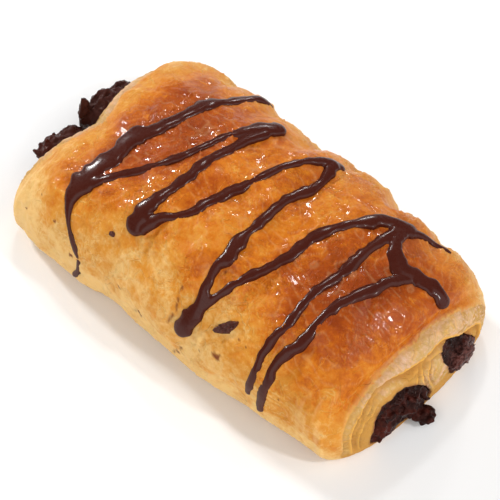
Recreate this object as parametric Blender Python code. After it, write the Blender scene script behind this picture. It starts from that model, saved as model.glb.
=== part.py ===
"""A pain au chocolat: a flattened roll of laminated dough baked round two chocolate fillings.

+X runs along the roll to the end whose layers are most open, +Y runs across it, and +Z is up. The
roll rests on the plane z = 0. Lengths are in metres and angles round the roll in degrees: 0 is
the far side (+Y), 90 the top, 180 the near side (-Y) and 270 the bottom.
"""

import math
import random

import bmesh
import bpy
from mathutils import Matrix, Vector, noise

MM = 0.001

# Driving sizes of the roll. Each station is x, near side y, far side y and height, in millimetres.
CRUST_LENGTH = 0.127
ROLL_STATIONS_MM = (
    (-60, -38.6, 42.6, 34.0),
    (-40, -39.8, 41.5, 37.5),
    (-20, -39.2, 40.8, 41.5),
    (0, -39.8, 39.6, 42.0),
    (20, -39.8, 40.4, 40.0),
    (40, -38.5, 39.8, 38.0),
    (60, -37.2, 37.5, 36.5),
)
WIDEST_AT = 0.40  # share of the height at which the roll is widest
TOP_ROUNDNESS = 2.3  # exponent of the upper half of the section
FOOT_ROUNDNESS = 3.6  # exponent of the lower half
FOOT_SINK = 0.0016  # how much of the rounded underside is pressed flat
END_SHARPNESS = 8.0  # how late the roll starts to fall towards its ends
END_DROP = 0.27  # share of the height lost at the crust's edge
END_TUCK = 0.002  # width lost on each side there
BACK_EAR = 0.0016  # how far the back corners reach past the middle of the back edge
BACK_SKEW = 0.0014  # and how much further the far one does
BACK_DRAW = 0.0010  # how far the back edge is drawn in all round
BACK_DENT = 0.0046  # and how much further between the two fillings
BACK_DENT_WIDTH = 0.011
BACK_DENT_Y = -0.001

# The crust's relief: blisters all over, and crosswise folds in the far side.
BLISTER_SIZE = 0.015
BLISTER_HEIGHT = 0.0022
FOLD_X_MM = (-41, -21, -3, 12, 30, 47)
FOLD_WIDTH = 0.0032
FOLD_DEPTH = 0.0016
FOLD_ANGLE = 32.0
FOLD_SPREAD = 26.0
FOOT_FADE = 0.008  # height over which the relief fades in above the underside
END_FADE = 0.04  # share of half the length over which it fades in from an end

# The end faces: dough layers that swell out of the crust, with a seam between two of them.
FACE_SWELL = 0.0070
SWELL_FALL = 3.0
SWELL_POWER = 0.6
FACE_CENTRE_Z = 0.0008
LAYERS_FROM = -0.25  # sine of the angle below which an end face shows no layers
# Where the seam lies at an angle, between the middle (0) and the rim (1).
SEAM_AT = (
    (0, 0.81), (11, 0.81), (30, 0.77), (48, 0.73), (60, 0.76), (72, 0.80), (90, 0.78),
    (100, 0.83), (107, 0.88), (115, 0.92), (128, 0.89), (140, 0.855), (155, 0.83), (187, 0.79),
    (230, 0.80), (300, 0.80), (360, 0.81),
)
# From the rim to the seam (0 to 1) and on to the middle of the face (1 to 2): place, relief.
FACE_RINGS = (
    (0.07, -0.0006),
    (0.32, 0.0008),
    (0.66, 0.0011),
    (1.00, -0.0004),
    (1.14, 0.0008),
    (1.36, 0.0012),
    (1.62, 0.0006),
    (1.86, 0.0003),
)

# The two fillings run through the roll. Each end has the y and z of its middle, and how far the
# section reaches from there at an angle: 0 is the far side and 90 the top. In millimetres.
FILLINGS_MM = {
    "filling_near": {
        "back": (
            (-7.5, 7.8),
            ((0, 8.8), (45, 7.2), (90, 5.8), (135, 7.2), (180, 8.8), (225, 7.0), (270, 5.4), (315, 7.0)),
        ),
        "front": (
            (-8.5, 9.5),
            (
                (0, 10.2), (32, 8.3), (64, 7.9), (90, 8.3), (118, 9.2), (140, 10.9), (152, 11.7),
                (180, 11.5), (208, 13.0), (238, 9.2), (270, 7.7), (300, 8.8), (332, 13.3),
            ),
        ),
    },
    "filling_far": {
        "back": (
            (15.0, 8.8),
            ((0, 10.6), (45, 8.2), (90, 6.4), (135, 8.0), (180, 10.2), (225, 7.8), (270, 6.2), (315, 8.0)),
        ),
        "front": (
            (17.0, 10.5),
            (
                (0, 7.0), (30, 5.4), (60, 5.4), (90, 6.4), (112, 8.0), (134, 10.7), (146, 9.6),
                (170, 6.4), (200, 5.4), (237, 6.2), (270, 7.4), (300, 8.4), (328, 10.4), (345, 8.8),
            ),
        ),
    },
}
FILLING_LENGTH = 0.140  # between the two ends that the sections above are for
FILLING_SIDES = 24
FILLING_GAP = 0.0005  # between the filling's side and the dough
CHANNEL_REACH = 0.085
# Where the filling's sections lie along the roll, in millimetres.
FILLING_STEPS_MM = (-76, -74, -71.5, -68.5, -63, -40, -12, 16, 44, 62, 66.4, 69.2, 70.9)
RAGGED_FROM = 0.067  # past this distance from the middle the filling is crumbly
RAGGED_DEPTH = 0.0014
FACE_LEAN = 0.05  # how much the end faces draw back for each unit of height
FACE_BEND = 2.2  # and how much for y squared, in 1 / m
CRUMB_ROUGHNESS = 0.5
CRUMB_GRAIN = 1.9
# Crumbs on the filling's ends: filling, centre and half sizes in millimetres.
CRUMBS_MM = (
    ("filling_near", (73.9, -2.3, 3.2), (3.2, 3.3, 1.8)),
    ("filling_near", (70.8, -5.0, 7.0), (2.4, 4.2, 3.4)),
    ("filling_near", (69.6, -13.2, 6.2), (1.9, 5.6, 4.2)),
    ("filling_far", (70.2, 18.6, 7.2), (1.8, 5.4, 4.2)),
    ("filling_near", (-74.4, -10.2, 9.0), (2.8, 4.0, 4.8)),
    ("filling_near", (-74.6, -3.4, 6.8), (2.4, 5.2, 4.0)),
    ("filling_far", (-75.2, 5.3, 11.6), (1.8, 2.2, 7.0)),
    ("filling_far", (-75.4, 12.6, 10.6), (2.8, 5.6, 5.2)),
    ("filling_far", (-74.8, 20.6, 9.6), (2.6, 5.0, 4.8)),
)

# The drizzle, stroke by stroke: x in millimetres, angle round the roll, width in millimetres.
STROKES = (
    # a thick band that starts in a thin tail on the near side
    (
        (-32.5, 187, 2.2), (-30.6, 178, 2.0), (-33, 170, 2.4), (-36, 162, 2.0), (-39, 152, 2.2),
        (-40.8, 144, 3.2), (-42, 137, 5.6), (-42.2, 129, 8.2), (-41, 120, 8.2), (-40.2, 110, 7.7),
        (-40, 101, 7.8), (-39.6, 95, 7.8), (-36.6, 90, 5.6), (-35.5, 83, 5.4), (-34.2, 74, 5.6),
        (-33.2, 63, 5.8), (-31.4, 53, 4.6), (-29.6, 44, 4.2), (-27.5, 34, 3.6), (-25, 26, 2.8),
    ),
    # a thin one from that band to the far side, and back to a drop
    (
        (-39, 126, 4.6), (-35.5, 121, 3.4), (-32, 113.5, 3.4), (-28.5, 107, 3.2), (-25.5, 100, 3.0),
        (-22, 94, 3.4), (-20.6, 87, 2.6), (-18.8, 79, 3.0), (-16.8, 71, 3.6), (-14.5, 61, 4.8),
        (-12.5, 54, 5.4), (-11, 47, 5.0),
    ),
    (
        (-12.5, 62, 4.0), (-13.8, 73, 3.8), (-13.8, 80, 4.2), (-15, 90, 4.0), (-15.3, 100, 4.2),
        (-16, 108, 4.0), (-16.2, 115, 5.0), (-16.6, 123, 6.2), (-16.4, 132, 7.4),
    ),
    # from the drop to the far side, and back down to the next drop
    (
        (-14, 131, 4.8), (-11, 122, 3.8), (-8, 116, 3.6), (-5.6, 109, 3.6), (-5, 102, 3.4),
        (-2, 92, 3.8), (0.2, 85, 3.0), (2, 72, 2.8), (4, 59, 2.8), (6.5, 50, 3.8), (9.5, 41, 4.2),
    ),
    (
        (8.5, 48, 4.8), (11.2, 59, 4.2), (12, 68, 3.6), (11.2, 77, 3.2), (11, 86, 3.6),
        (11.2, 97, 3.6), (11, 107, 4.0), (12.6, 116, 4.8), (11.8, 123, 3.4), (12.6, 134, 4.0),
        (14, 144, 4.4), (13.8, 152, 6.2), (12.8, 160, 6.6), (12.2, 165, 6.0),
    ),
    # from there to the thick joint over the far side
    (
        (14.5, 147, 3.4), (16.4, 139, 2.8), (18.5, 127, 2.8), (21, 115, 3.2), (24, 103, 4.0),
        (24.6, 95, 3.8), (27, 85, 4.2), (30, 75, 4.4), (33, 65, 4.8), (36.5, 56, 5.6),
        (40, 51.5, 6.4),
    ),
    # a thin one over the far side
    ((41, 52, 4.6), (44, 46, 2.8), (48, 40, 2.4), (52, 37, 2.2)),
    # back down to the near side, thinning out
    (
        (38.8, 57, 4.6), (39.2, 68, 3.8), (39, 80, 3.6), (39.4, 90, 4.0), (38.4, 100, 3.6),
        (38.2, 112, 3.4), (38.5, 126, 3.4), (38.4, 137, 3.2), (37.9, 146, 2.8), (38.3, 157, 3.8),
        (38.1, 166, 3.4), (37.6, 177, 2.4),
    ),
    # the curl on the front, with its thick end
    (
        (39.5, 53, 6.0), (41.4, 62, 5.2), (44.8, 70, 5.0), (49.6, 73.5, 5.6), (54, 70, 6.0),
        (58.5, 67, 6.0), (62, 66.5, 5.8),
    ),
    # from the curl down to the near side
    (
        (52.5, 73, 4.6), (50.6, 82, 3.8), (48.6, 90, 4.0), (46, 100, 3.6), (45, 111, 3.2),
        (45.1, 122, 3.8), (45, 129, 4.4), (43.2, 138, 3.6), (42, 148, 3.4), (42.5, 158, 3.8),
        (42, 168, 3.8), (41, 179, 3.0),
    ),
)
STROKE_STEP = 0.0042
STROKE_SINK = 0.0009
STROKE_HEIGHT = 0.36  # share of its width that a stroke stands proud
# Section of a stroke: across in shares of the width, up in shares of the height, 0 the crust.
STROKE_SECTION = ((-0.5, 0.0), (-0.36, 0.74), (0.0, 1.0), (0.36, 0.74), (0.5, 0.0))
STROKE_FOOT = 0.38  # half width of the part that is sunk into the crust, as a share of the width
STROKE_TIP = (0.42, 0.45, 0.55)  # how far the tip reaches, its width and its height, as shares
# Loose bits of chocolate on the crust, as outlines in millimetres: along the roll, up its side.
DOT_OUTLINE_MM = (
    (1.2, 0.0), (0.9, 0.7), (0.1, 1.0), (-0.8, 0.8), (-1.2, 0.1), (-0.9, -0.7), (0.0, -1.0), (0.9, -0.7),
)
SHARD_OUTLINE_MM = (
    (-3.3, -3.2), (-2.3, -3.4), (-0.4, -2.5), (1.9, -1.0), (2.8, 2.0), (2.5, 3.7), (0.0, 2.4), (-2.4, -0.6),
)
# Where they lie: x in mm, angle, outline and height in mm.
BITS = ((-22, 145, DOT_OUTLINE_MM, 0.9), (24.6, 146, SHARD_OUTLINE_MM, 1.3))
# Sections of a bit from its sunken foot to its top: share of the outline, share of the height.
BIT_SECTIONS = ((0.8, -0.5), (1.0, 0.1), (0.75, 1.0))

# Puts the middle of the whole, with its crumbs, over the origin.
OFFSET = Vector((0.0004, -0.0009, 0.0))

RINGS_ALONG = 41
SIDES = 52

COLOURS = {
    "pastry": (0.72, 0.36, 0.10, 1.0),
    "filling_near": (0.030, 0.012, 0.010, 1.0),
    "filling_far": (0.030, 0.012, 0.010, 1.0),
}


def clear_scene():
    for old in list(bpy.data.objects):
        bpy.data.objects.remove(old)


def smooth_between(places, values, at):
    """Cubic curve through the values, flat beyond the first and the last place."""
    if at <= places[0]:
        return values[0]
    if at >= places[-1]:
        return values[-1]
    i = max(k for k in range(len(places) - 1) if places[k] <= at)
    before = max(i - 1, 0)
    after = min(i + 2, len(places) - 1)
    span = places[i + 1] - places[i]
    slope_0 = (values[i + 1] - values[before]) / (places[i + 1] - places[before]) * span
    slope_1 = (values[after] - values[i]) / (places[after] - places[i]) * span
    t = (at - places[i]) / span
    return (
        (2 * t**3 - 3 * t**2 + 1) * values[i]
        + (t**3 - 2 * t**2 + t) * slope_0
        + (3 * t**2 - 2 * t**3) * values[i + 1]
        + (t**3 - t**2) * slope_1
    )


def signed_power(value, power):
    return math.copysign(abs(value) ** power, value)


def roll_outline(x):
    """Near side, far side and height of the roll at x, in metres."""
    places = [station[0] * MM for station in ROLL_STATIONS_MM]
    return [
        smooth_between(places, [station[k] * MM for station in ROLL_STATIONS_MM], x)
        for k in (1, 2, 3)
    ]


def plain_point(along, angle):
    """Point of the bare roll, for along from -1 to 1 and an angle in degrees."""
    cos_a = math.cos(math.radians(angle))
    sin_a = math.sin(math.radians(angle))
    x = along * CRUST_LENGTH / 2
    near, far, height = roll_outline(x)
    shoulder = math.sqrt(max(0.0, 1 - abs(along) ** END_SHARPNESS))
    height *= 1 - END_DROP * (1 - shoulder)
    half_width = (far - near) / 2 - END_TUCK * (1 - shoulder)
    widest_z = height * WIDEST_AT
    if sin_a >= 0:
        power = 2 / TOP_ROUNDNESS
        z = widest_z + (height - widest_z) * signed_power(sin_a, power)
    else:
        power = 2 / FOOT_ROUNDNESS
        z = widest_z + (widest_z + FOOT_SINK) * signed_power(sin_a, power)
    y = (near + far) / 2 + half_width * signed_power(cos_a, power)
    if along < 0:
        tail = abs(along) ** END_SHARPNESS
        x += (BACK_DRAW - BACK_EAR * cos_a**2 - BACK_SKEW * cos_a) * tail
        x += BACK_DENT * math.exp(-(((y - BACK_DENT_Y) / BACK_DENT_WIDTH) ** 2)) * tail * z / height
    return Vector((x, y, max(z, 0.0)))


def crust_relief(point, angle):
    """How far the crust stands out of the bare roll there: blisters and far-side folds."""
    relief = BLISTER_HEIGHT * noise.noise(point / BLISTER_SIZE)
    around = math.exp(-(((angle - FOLD_ANGLE) / FOLD_SPREAD) ** 2))
    for fold_x in FOLD_X_MM:
        relief -= FOLD_DEPTH * around * math.exp(-(((point.x - fold_x * MM) / FOLD_WIDTH) ** 2))
    return relief


def roll_normal(along, angle):
    step = 0.01
    low, high = max(along - step, -0.995), min(along + step, 0.995)
    lengthways = plain_point(high, angle) - plain_point(low, angle)
    around = plain_point(along, angle + 1.0) - plain_point(along, angle - 1.0)
    return around.cross(lengthways).normalized()


def roll_point(along, angle):
    """Point of the crust with its relief, which fades out at the foot and at both ends."""
    point = plain_point(along, angle)
    foot_fade = min(1.0, point.z / FOOT_FADE)
    end_fade = min(1.0, (1 - abs(along)) / END_FADE)
    fade = foot_fade * end_fade
    if fade <= 0.0:
        return point
    return point + roll_normal(along, angle) * crust_relief(point, angle % 360) * fade


def face_ring(rim, end, place, relief):
    """One ring of an end face: its rim drawn in towards the middle and swollen outwards."""
    middle = sum(rim, Vector()) / len(rim)
    middle.z = FACE_CENTRE_Z
    seam_angles, seam_shares = zip(*SEAM_AT)
    ring = []
    for k, point in enumerate(rim):
        angle = 360 * k / SIDES
        seam = smooth_between(seam_angles, seam_shares, angle)
        share = 1 - place * (1 - seam) if place <= 1 else seam * (2 - place)
        layers = max(0.0, math.sin(math.radians(angle)) - LAYERS_FROM) / (1 - LAYERS_FROM)
        swell = FACE_SWELL * (1 - share**SWELL_FALL) ** SWELL_POWER + relief * layers
        ring.append(middle.lerp(point, share) + Vector((end * swell, 0.0, 0.0)))
    return ring


def closed_loft(name, rings):
    """One closed body through rings of points, with a fan on its first and on its last ring."""
    shape = bmesh.new()
    loops = [[shape.verts.new(point) for point in ring] for ring in rings]
    for low, high in zip(loops, loops[1:]):
        for k in range(len(low)):
            n = (k + 1) % len(low)
            shape.faces.new((low[k], low[n], high[n], high[k]))
    for loop in (loops[0], loops[-1]):
        middle = shape.verts.new(sum((vert.co for vert in loop), Vector()) / len(loop))
        for k in range(len(loop)):
            shape.faces.new((loop[k], loop[(k + 1) % len(loop)], middle))
    bmesh.ops.triangulate(shape, faces=shape.faces)
    bmesh.ops.recalc_face_normals(shape, faces=shape.faces)
    mesh = bpy.data.meshes.new(name)
    shape.to_mesh(mesh)
    shape.free()
    mesh.shade_smooth()
    body = bpy.data.objects.new(name, mesh)
    bpy.context.scene.collection.objects.link(body)
    return body


def make_roll():
    """The bare roll, from the middle of its back face along the crust to that of its front."""
    rings = []
    for k in range(RINGS_ALONG):
        along = math.sin(math.pi / 2 * (2 * k / (RINGS_ALONG - 1) - 1))
        rings.append([roll_point(along, 360 * s / SIDES) for s in range(SIDES)])
    back = [face_ring(rings[0], -1, place, relief) for place, relief in reversed(FACE_RINGS)]
    front = [face_ring(rings[-1], 1, place, relief) for place, relief in FACE_RINGS]
    return closed_loft("pastry", back + rings + front)


def section_reach(pairs, angle):
    """How far a section reaches from its middle at an angle, from pairs all the way round."""
    wrapped = [(a - 360, r) for a, r in pairs[-2:]] + list(pairs) + [(a + 360, r) for a, r in pairs[:2]]
    places, values = zip(*wrapped)
    return smooth_between(places, values, angle)


def filling_section(name, x, grow):
    """Outline of a filling at x, grown by the given amount."""
    ends = FILLINGS_MM[name]
    share = min(1.0, max(0.0, x / FILLING_LENGTH + 0.5))
    middle = Vector(ends["back"][0]).lerp(Vector(ends["front"][0]), share) * MM
    ring = []
    for k in range(FILLING_SIDES):
        angle = 360 * k / FILLING_SIDES
        back, front = [section_reach(ends[end][1], angle) * MM for end in ("back", "front")]
        reach = back + (front - back) * share + grow
        turn = math.radians(angle)
        ring.append(Vector((x, middle.x + reach * math.cos(turn), middle.y + reach * math.sin(turn))))
    return ring


def make_channel(name):
    """The cutter for the dough round a filling."""
    steps = (-CHANNEL_REACH, -FILLING_LENGTH / 2, 0.0, FILLING_LENGTH / 2, CHANNEL_REACH)
    cutter = closed_loft("channel_" + name, [filling_section(name, x, FILLING_GAP) for x in steps])
    cutter.hide_render = True
    cutter.display_type = "WIRE"
    return cutter


def make_crumb(name, centre, half_sizes):
    """An uneven lump of filling."""
    shape = bmesh.new()
    bmesh.ops.create_icosphere(shape, subdivisions=2, radius=1.0)
    middle = Vector(centre) * MM
    for vert in shape.verts:
        rough = 1 + CRUMB_ROUGHNESS * noise.noise(vert.co * CRUMB_GRAIN + middle / MM)
        vert.co = middle + Vector([c * s * MM * rough for c, s in zip(vert.co, half_sizes)])
    mesh = bpy.data.meshes.new(name)
    shape.to_mesh(mesh)
    shape.free()
    return bpy.data.objects.new(name, mesh)


def fuse(body, pieces):
    """Joins the pieces to the body in one union and removes them."""
    group = bpy.data.collections.new(body.name + "_pieces")
    bpy.context.scene.collection.children.link(group)
    for piece in pieces:
        for owner in list(piece.users_collection):
            owner.objects.unlink(piece)
        group.objects.link(piece)
    union = body.modifiers.new("fuse", "BOOLEAN")
    union.operation = "UNION"
    union.operand_type = "COLLECTION"
    union.collection = group
    apply_modifier(body, union)
    for piece in pieces:
        bpy.data.objects.remove(piece)
    bpy.data.collections.remove(group)


def apply_modifier(body, modifier):
    bpy.ops.object.select_all(action="DESELECT")
    bpy.context.view_layer.objects.active = body
    body.select_set(True)
    bpy.ops.object.modifier_apply(modifier=modifier.name)


def cut(body, cutter):
    """Takes the cutter out of the body and removes it."""
    difference = body.modifiers.new("cut", "BOOLEAN")
    difference.operation = "DIFFERENCE"
    difference.object = cutter
    apply_modifier(body, difference)
    bpy.data.objects.remove(cutter)


def make_filling(name):
    """A filling through the roll, crumbly where it stands out of both ends."""
    draw = random.Random(name)
    rings = []
    for x_mm in FILLING_STEPS_MM:
        x = x_mm * MM
        ring = filling_section(name, x, 0.0)
        if abs(x) > RAGGED_FROM:
            middle = sum(ring, Vector()) / len(ring)
            outwards = 1 if x > 0 else -1
            for k, point in enumerate(ring):
                ring[k] = point.lerp(middle, RAGGED_DEPTH * draw.random() / (point - middle).length)
                ring[k].x -= outwards * (FACE_LEAN * point.z + FACE_BEND * point.y**2)
        rings.append(ring)
    body = closed_loft(name, rings)
    crumbs = [
        make_crumb(f"crumb_{k}", centre, sizes)
        for k, (owner, centre, sizes) in enumerate(CRUMBS_MM)
        if owner == name
    ]
    fuse(body, crumbs)
    return body


def stroke_path(waypoints):
    """Points along a stroke, close together: along, angle and width in metres."""
    lengths = [0.0]
    for first, second in zip(waypoints, waypoints[1:]):
        ends = [roll_point(p[0] * MM / (CRUST_LENGTH / 2), p[1]) for p in (first, second)]
        lengths.append(lengths[-1] + (ends[1] - ends[0]).length)
    count = max(3, round(lengths[-1] / STROKE_STEP))
    path = []
    for k in range(count + 1):
        at = lengths[-1] * k / count
        x_mm, angle, width_mm = [
            smooth_between(lengths, [p[i] for p in waypoints], at) for i in range(3)
        ]
        path.append((x_mm * MM / (CRUST_LENGTH / 2), angle, width_mm * MM))
    return path


def make_stroke(name, waypoints):
    """A stroke of chocolate that follows the crust, round at both ends."""
    path = stroke_path(waypoints)
    points = [roll_point(along, angle) for along, angle, _ in path]
    rings = []
    for k, (along, angle, width) in enumerate(path):
        up = roll_normal(along, angle)
        ahead = (points[min(k + 1, len(points) - 1)] - points[max(k - 1, 0)]).normalized()
        across = up.cross(ahead).normalized()
        height = width * STROKE_HEIGHT
        rings.append(stroke_ring(points[k], across, up, width, height))
        if k in (0, len(path) - 1):
            reach, tip_width, tip_height = STROKE_TIP
            past = ahead * width * (-reach if k == 0 else reach)
            tip = stroke_ring(points[k] + past, across, up, width * tip_width, height * tip_height)
            if k == 0:
                rings.insert(0, tip)
            else:
                rings.append(tip)
    return closed_loft(name, rings)


def stroke_ring(point, across, up, width, height):
    ring = [point + across * width * a + up * height * b for a, b in STROKE_SECTION]
    ring.append(point + across * width * STROKE_FOOT - up * STROKE_SINK)
    ring.append(point - across * width * STROKE_FOOT - up * STROKE_SINK)
    return ring


def make_bit(name, x_mm, angle, outline, height):
    """A bit of chocolate that lies on the crust."""
    along = x_mm * MM / (CRUST_LENGTH / 2)
    middle = roll_point(along, angle)
    up = roll_normal(along, angle)
    ahead = Vector((1, 0, 0))
    across = up.cross(ahead).normalized()
    rings = []
    for share, rise in BIT_SECTIONS:
        lift = middle + up * rise * height * MM
        rings.append([lift + (ahead * a + across * b) * share * MM for a, b in outline])
    return closed_loft(name, rings)


def finish(body, roughness):
    """Gives a body its material, its place and smooth shading."""
    material = bpy.data.materials.new(body.name)
    material.use_nodes = True
    shader = material.node_tree.nodes["Principled BSDF"]
    shader.inputs["Base Color"].default_value = COLOURS[body.name]
    shader.inputs["Roughness"].default_value = roughness
    shader.inputs["Metallic"].default_value = 0.0
    body.data.materials.clear()
    body.data.materials.append(material)
    body.data.transform(Matrix.Translation(OFFSET))
    body.data.shade_smooth()


def main():
    clear_scene()
    pastry = make_roll()
    for name in FILLINGS_MM:
        cut(pastry, make_channel(name))
    strokes = [make_stroke(f"stroke_{k}", stroke) for k, stroke in enumerate(STROKES)]
    bits = [make_bit(f"bit_{k}", *values) for k, values in enumerate(BITS)]
    fuse(pastry, strokes + bits)
    finish(pastry, 0.35)
    for name in FILLINGS_MM:
        finish(make_filling(name), 0.45)


main()
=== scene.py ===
"""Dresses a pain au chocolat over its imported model: crust, dough layers, fillings and drizzle.

Run it in Blender as a script. The form follows the solids: +X runs along the roll to the end that
shows its layers, +Z is up, and angles round the roll are in degrees, with 0 at the far side, 90 at
the top, 180 at the near side and 270 below. Lengths are in metres unless a name ends in MM.
"""

import math
import random

import bpy
import numpy as np
from bpy.props import FloatProperty, FloatVectorProperty, IntProperty, PointerProperty
from bpy.types import Operator, Panel, PropertyGroup
from mathutils import Matrix, Vector, kdtree, noise


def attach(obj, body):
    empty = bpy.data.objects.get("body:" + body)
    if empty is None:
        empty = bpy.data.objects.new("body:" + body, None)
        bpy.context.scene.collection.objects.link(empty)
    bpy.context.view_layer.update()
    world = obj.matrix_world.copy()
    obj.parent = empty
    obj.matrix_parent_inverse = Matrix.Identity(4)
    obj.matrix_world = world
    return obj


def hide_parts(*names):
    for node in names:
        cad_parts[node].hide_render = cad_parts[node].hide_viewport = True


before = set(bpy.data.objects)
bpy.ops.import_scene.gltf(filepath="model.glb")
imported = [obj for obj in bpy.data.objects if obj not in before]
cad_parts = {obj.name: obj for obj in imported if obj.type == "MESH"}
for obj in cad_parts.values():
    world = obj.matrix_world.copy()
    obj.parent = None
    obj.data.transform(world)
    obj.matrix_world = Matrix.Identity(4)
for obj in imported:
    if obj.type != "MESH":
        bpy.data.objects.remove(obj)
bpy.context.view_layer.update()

bl_info = {
    "name": "Pain au Chocolat",
    "version": (1, 0, 0),
    "blender": (4, 5, 0),
    "location": "View3D > Sidebar > Pain au Chocolat",
    "description": "Bakes, fills and drizzles a pain au chocolat",
    "category": "Object",
}

MM = 0.001

# The roll, as the solid has it. Each station is x, near side y, far side y and height.
CRUST_LENGTH = 0.127
ROLL_STATIONS_MM = (
    (-60, -38.6, 42.6, 34.0),
    (-40, -39.8, 41.5, 37.5),
    (-20, -39.2, 40.8, 41.5),
    (0, -39.8, 39.6, 42.0),
    (20, -39.8, 40.4, 40.0),
    (40, -38.5, 39.8, 38.0),
    (60, -37.2, 37.5, 36.5),
)
ROLL_RADIUS = 0.035
WIDEST_AT = 0.40
TOP_ROUNDNESS = 2.3
FOOT_ROUNDNESS = 3.6
FOOT_SINK = 0.0016
END_SHARPNESS = 8.0
END_DROP = 0.27
END_TUCK = 0.002
BACK_EAR = 0.0016
BACK_SKEW = 0.0014
BACK_DRAW = 0.0010
BACK_DENT = 0.0046
BACK_DENT_WIDTH = 0.011
BACK_DENT_Y = -0.001
BLISTER_SIZE = 0.015
BLISTER_HEIGHT = 0.0022
FOLD_X_MM = (-41, -21, -3, 12, 30, 47)
FOLD_WIDTH = 0.0032
FOLD_DEPTH = 0.0016
FOLD_ANGLE = 32.0
FOLD_SPREAD = 26.0
OFFSET = Vector((0.0004, -0.0009, 0.0))

# The end faces. A place is 0 at the rim, 1 at the seam between two layers and 2 in the middle.
FACE_SWELL = 0.0070
SWELL_FALL = 3.0
SWELL_POWER = 0.6
FACE_CENTRE_Z = 0.0008
LAYERS_FROM = -0.25
FACE_RINGS = (
    (0.00, 0.0),
    (0.07, -0.0006),
    (0.32, 0.0008),
    (0.66, 0.0011),
    (1.00, -0.0004),
    (1.14, 0.0008),
    (1.36, 0.0012),
    (1.62, 0.0006),
    (1.86, 0.0003),
    (2.00, 0.0),
)
# How the rings of a face are spread over its places: close together near the seam.
RING_SHARES = (0.0, 0.32, 0.90, 1.0)
RING_PLACES = (0.0, 1.0, 1.75, 2.0)
# Where the seam and the crust's edge lie at an angle, between the middle (0) and the rim (1).
SEAM_AT = (
    (0, 0.81), (11, 0.81), (30, 0.77), (48, 0.73), (60, 0.76), (72, 0.80), (90, 0.78),
    (100, 0.83), (107, 0.88), (115, 0.92), (128, 0.89), (140, 0.855), (155, 0.83), (187, 0.79),
    (230, 0.80), (300, 0.80), (360, 0.81),
)
CRUST_EDGE_AT = (
    (0, 0.955), (29, 0.95), (55, 0.96), (70, 0.98), (120, 0.985), (131, 0.975), (146, 0.95),
    (160, 0.915), (175, 0.88), (200, 0.90), (270, 0.97), (340, 0.96), (360, 0.955),
)
# Edges of the thinner layers inside the seam: angle, share.
LAYER_EDGES = (
    ((112, 0.86), (122, 0.855), (135, 0.81), (150, 0.785), (187, 0.755)),
    ((124, 0.80), (138, 0.765), (150, 0.745), (187, 0.715)),
    ((20, 0.70), (48, 0.64), (70, 0.70), (92, 0.72)),
)
# The dough that curls down between the fillings, as edges from the seam downwards: y, z.
CURL_EDGES_MM = (
    ((4.4, 22.0), (1.2, 20.6), (-1.5, 18.9), (-2.8, 16.8), (-3.4, 14.8)),
    ((6.4, 21.6), (3.3, 20.4), (1.1, 19.2), (-0.3, 17.6), (-0.7, 15.2), (0.4, 12.2), (2.2, 9.2)),
    ((7.0, 19.6), (4.4, 18.8), (2.4, 17.2), (1.6, 15.0), (2.2, 12.0), (3.8, 9.0), (5.4, 5.0)),
)

# The flaky dough between the fillings: its middle and half sizes, y and z.
CURL_PATCH_MM = (5.5, 13.5)
CURL_PATCH_SIZE_MM = (7.5, 7.0)
# How long a flaky chunk of a layer is, and how high chunks and their borders stand or sink.
CHUNK_LENGTH = 0.0052
CHUNK_RELIEF = 0.00026
# Scatters whole numbers over 0 to 1: their sine, at the first rate, times the second, less the
# whole part.
SCATTER = (12.9898, 437.585)
# Relief of the face's fine streaks and grains.
FACE_STREAKS = 0.00022
FACE_GRAINS = 0.00030
# How thick the crust's edge, the seam's edge, a layer's edge and a curl's edge are.
CRUST_EDGE_THICKNESS = 0.0006
SEAM_THICKNESS = 0.0012
LAYER_THICKNESS = 0.0007
CURL_THICKNESS = 0.0008
# How far filling soaks into the dough.
STAIN_REACH = 0.0007

# The fillings, as the solids have them. Each end has the y and z of its middle, and how far the
# section reaches from there at an angle: 0 is the far side and 90 the top. In millimetres.
FILLINGS_MM = {
    "filling_near": {
        "back": (
            (-7.5, 7.8),
            (
                (0, 8.8), (45, 7.2), (90, 5.8), (135, 7.2), (180, 8.8), (225, 7.0), (270, 5.4),
                (315, 7.0),
            ),
        ),
        "front": (
            (-8.5, 9.5),
            (
                (0, 10.2), (32, 8.3), (64, 7.9), (90, 8.3), (118, 9.2), (140, 10.9), (152, 11.7),
                (180, 11.5), (208, 13.0), (238, 9.2), (270, 7.7), (300, 8.8), (332, 13.3),
            ),
        ),
    },
    "filling_far": {
        "back": (
            (15.0, 8.8),
            (
                (0, 10.6), (45, 8.2), (90, 6.4), (135, 8.0), (180, 10.2), (225, 7.8), (270, 6.2),
                (315, 8.0),
            ),
        ),
        "front": (
            (17.0, 10.5),
            (
                (0, 7.0), (30, 5.4), (60, 5.4), (90, 6.4), (112, 8.0), (134, 10.7), (146, 9.6),
                (170, 6.4), (200, 5.4), (237, 6.2), (270, 7.4), (300, 8.4), (328, 10.4), (345, 8.8),
            ),
        ),
    },
}
FILLING_LENGTH = 0.140
# Half the plain rod inside, where the rods of its ends start, and where those start to lean.
ROD_HALF = 0.060
ROD_END_FROM = 0.058
LEAN_FROM = 0.064
LEAN_OVER = 0.004
ROD_SIDES = 48
FILLING_GAP = 0.0005
FILLING_TIPS = {-1: -0.0755, 1: 0.0709}
CHUNK_REACH = 0.84
CHUNK_RECESS = 0.0022
CRUMB_FLOOR = 0.0004
FACE_LEAN = 0.05
FACE_BEND = 2.2
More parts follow.
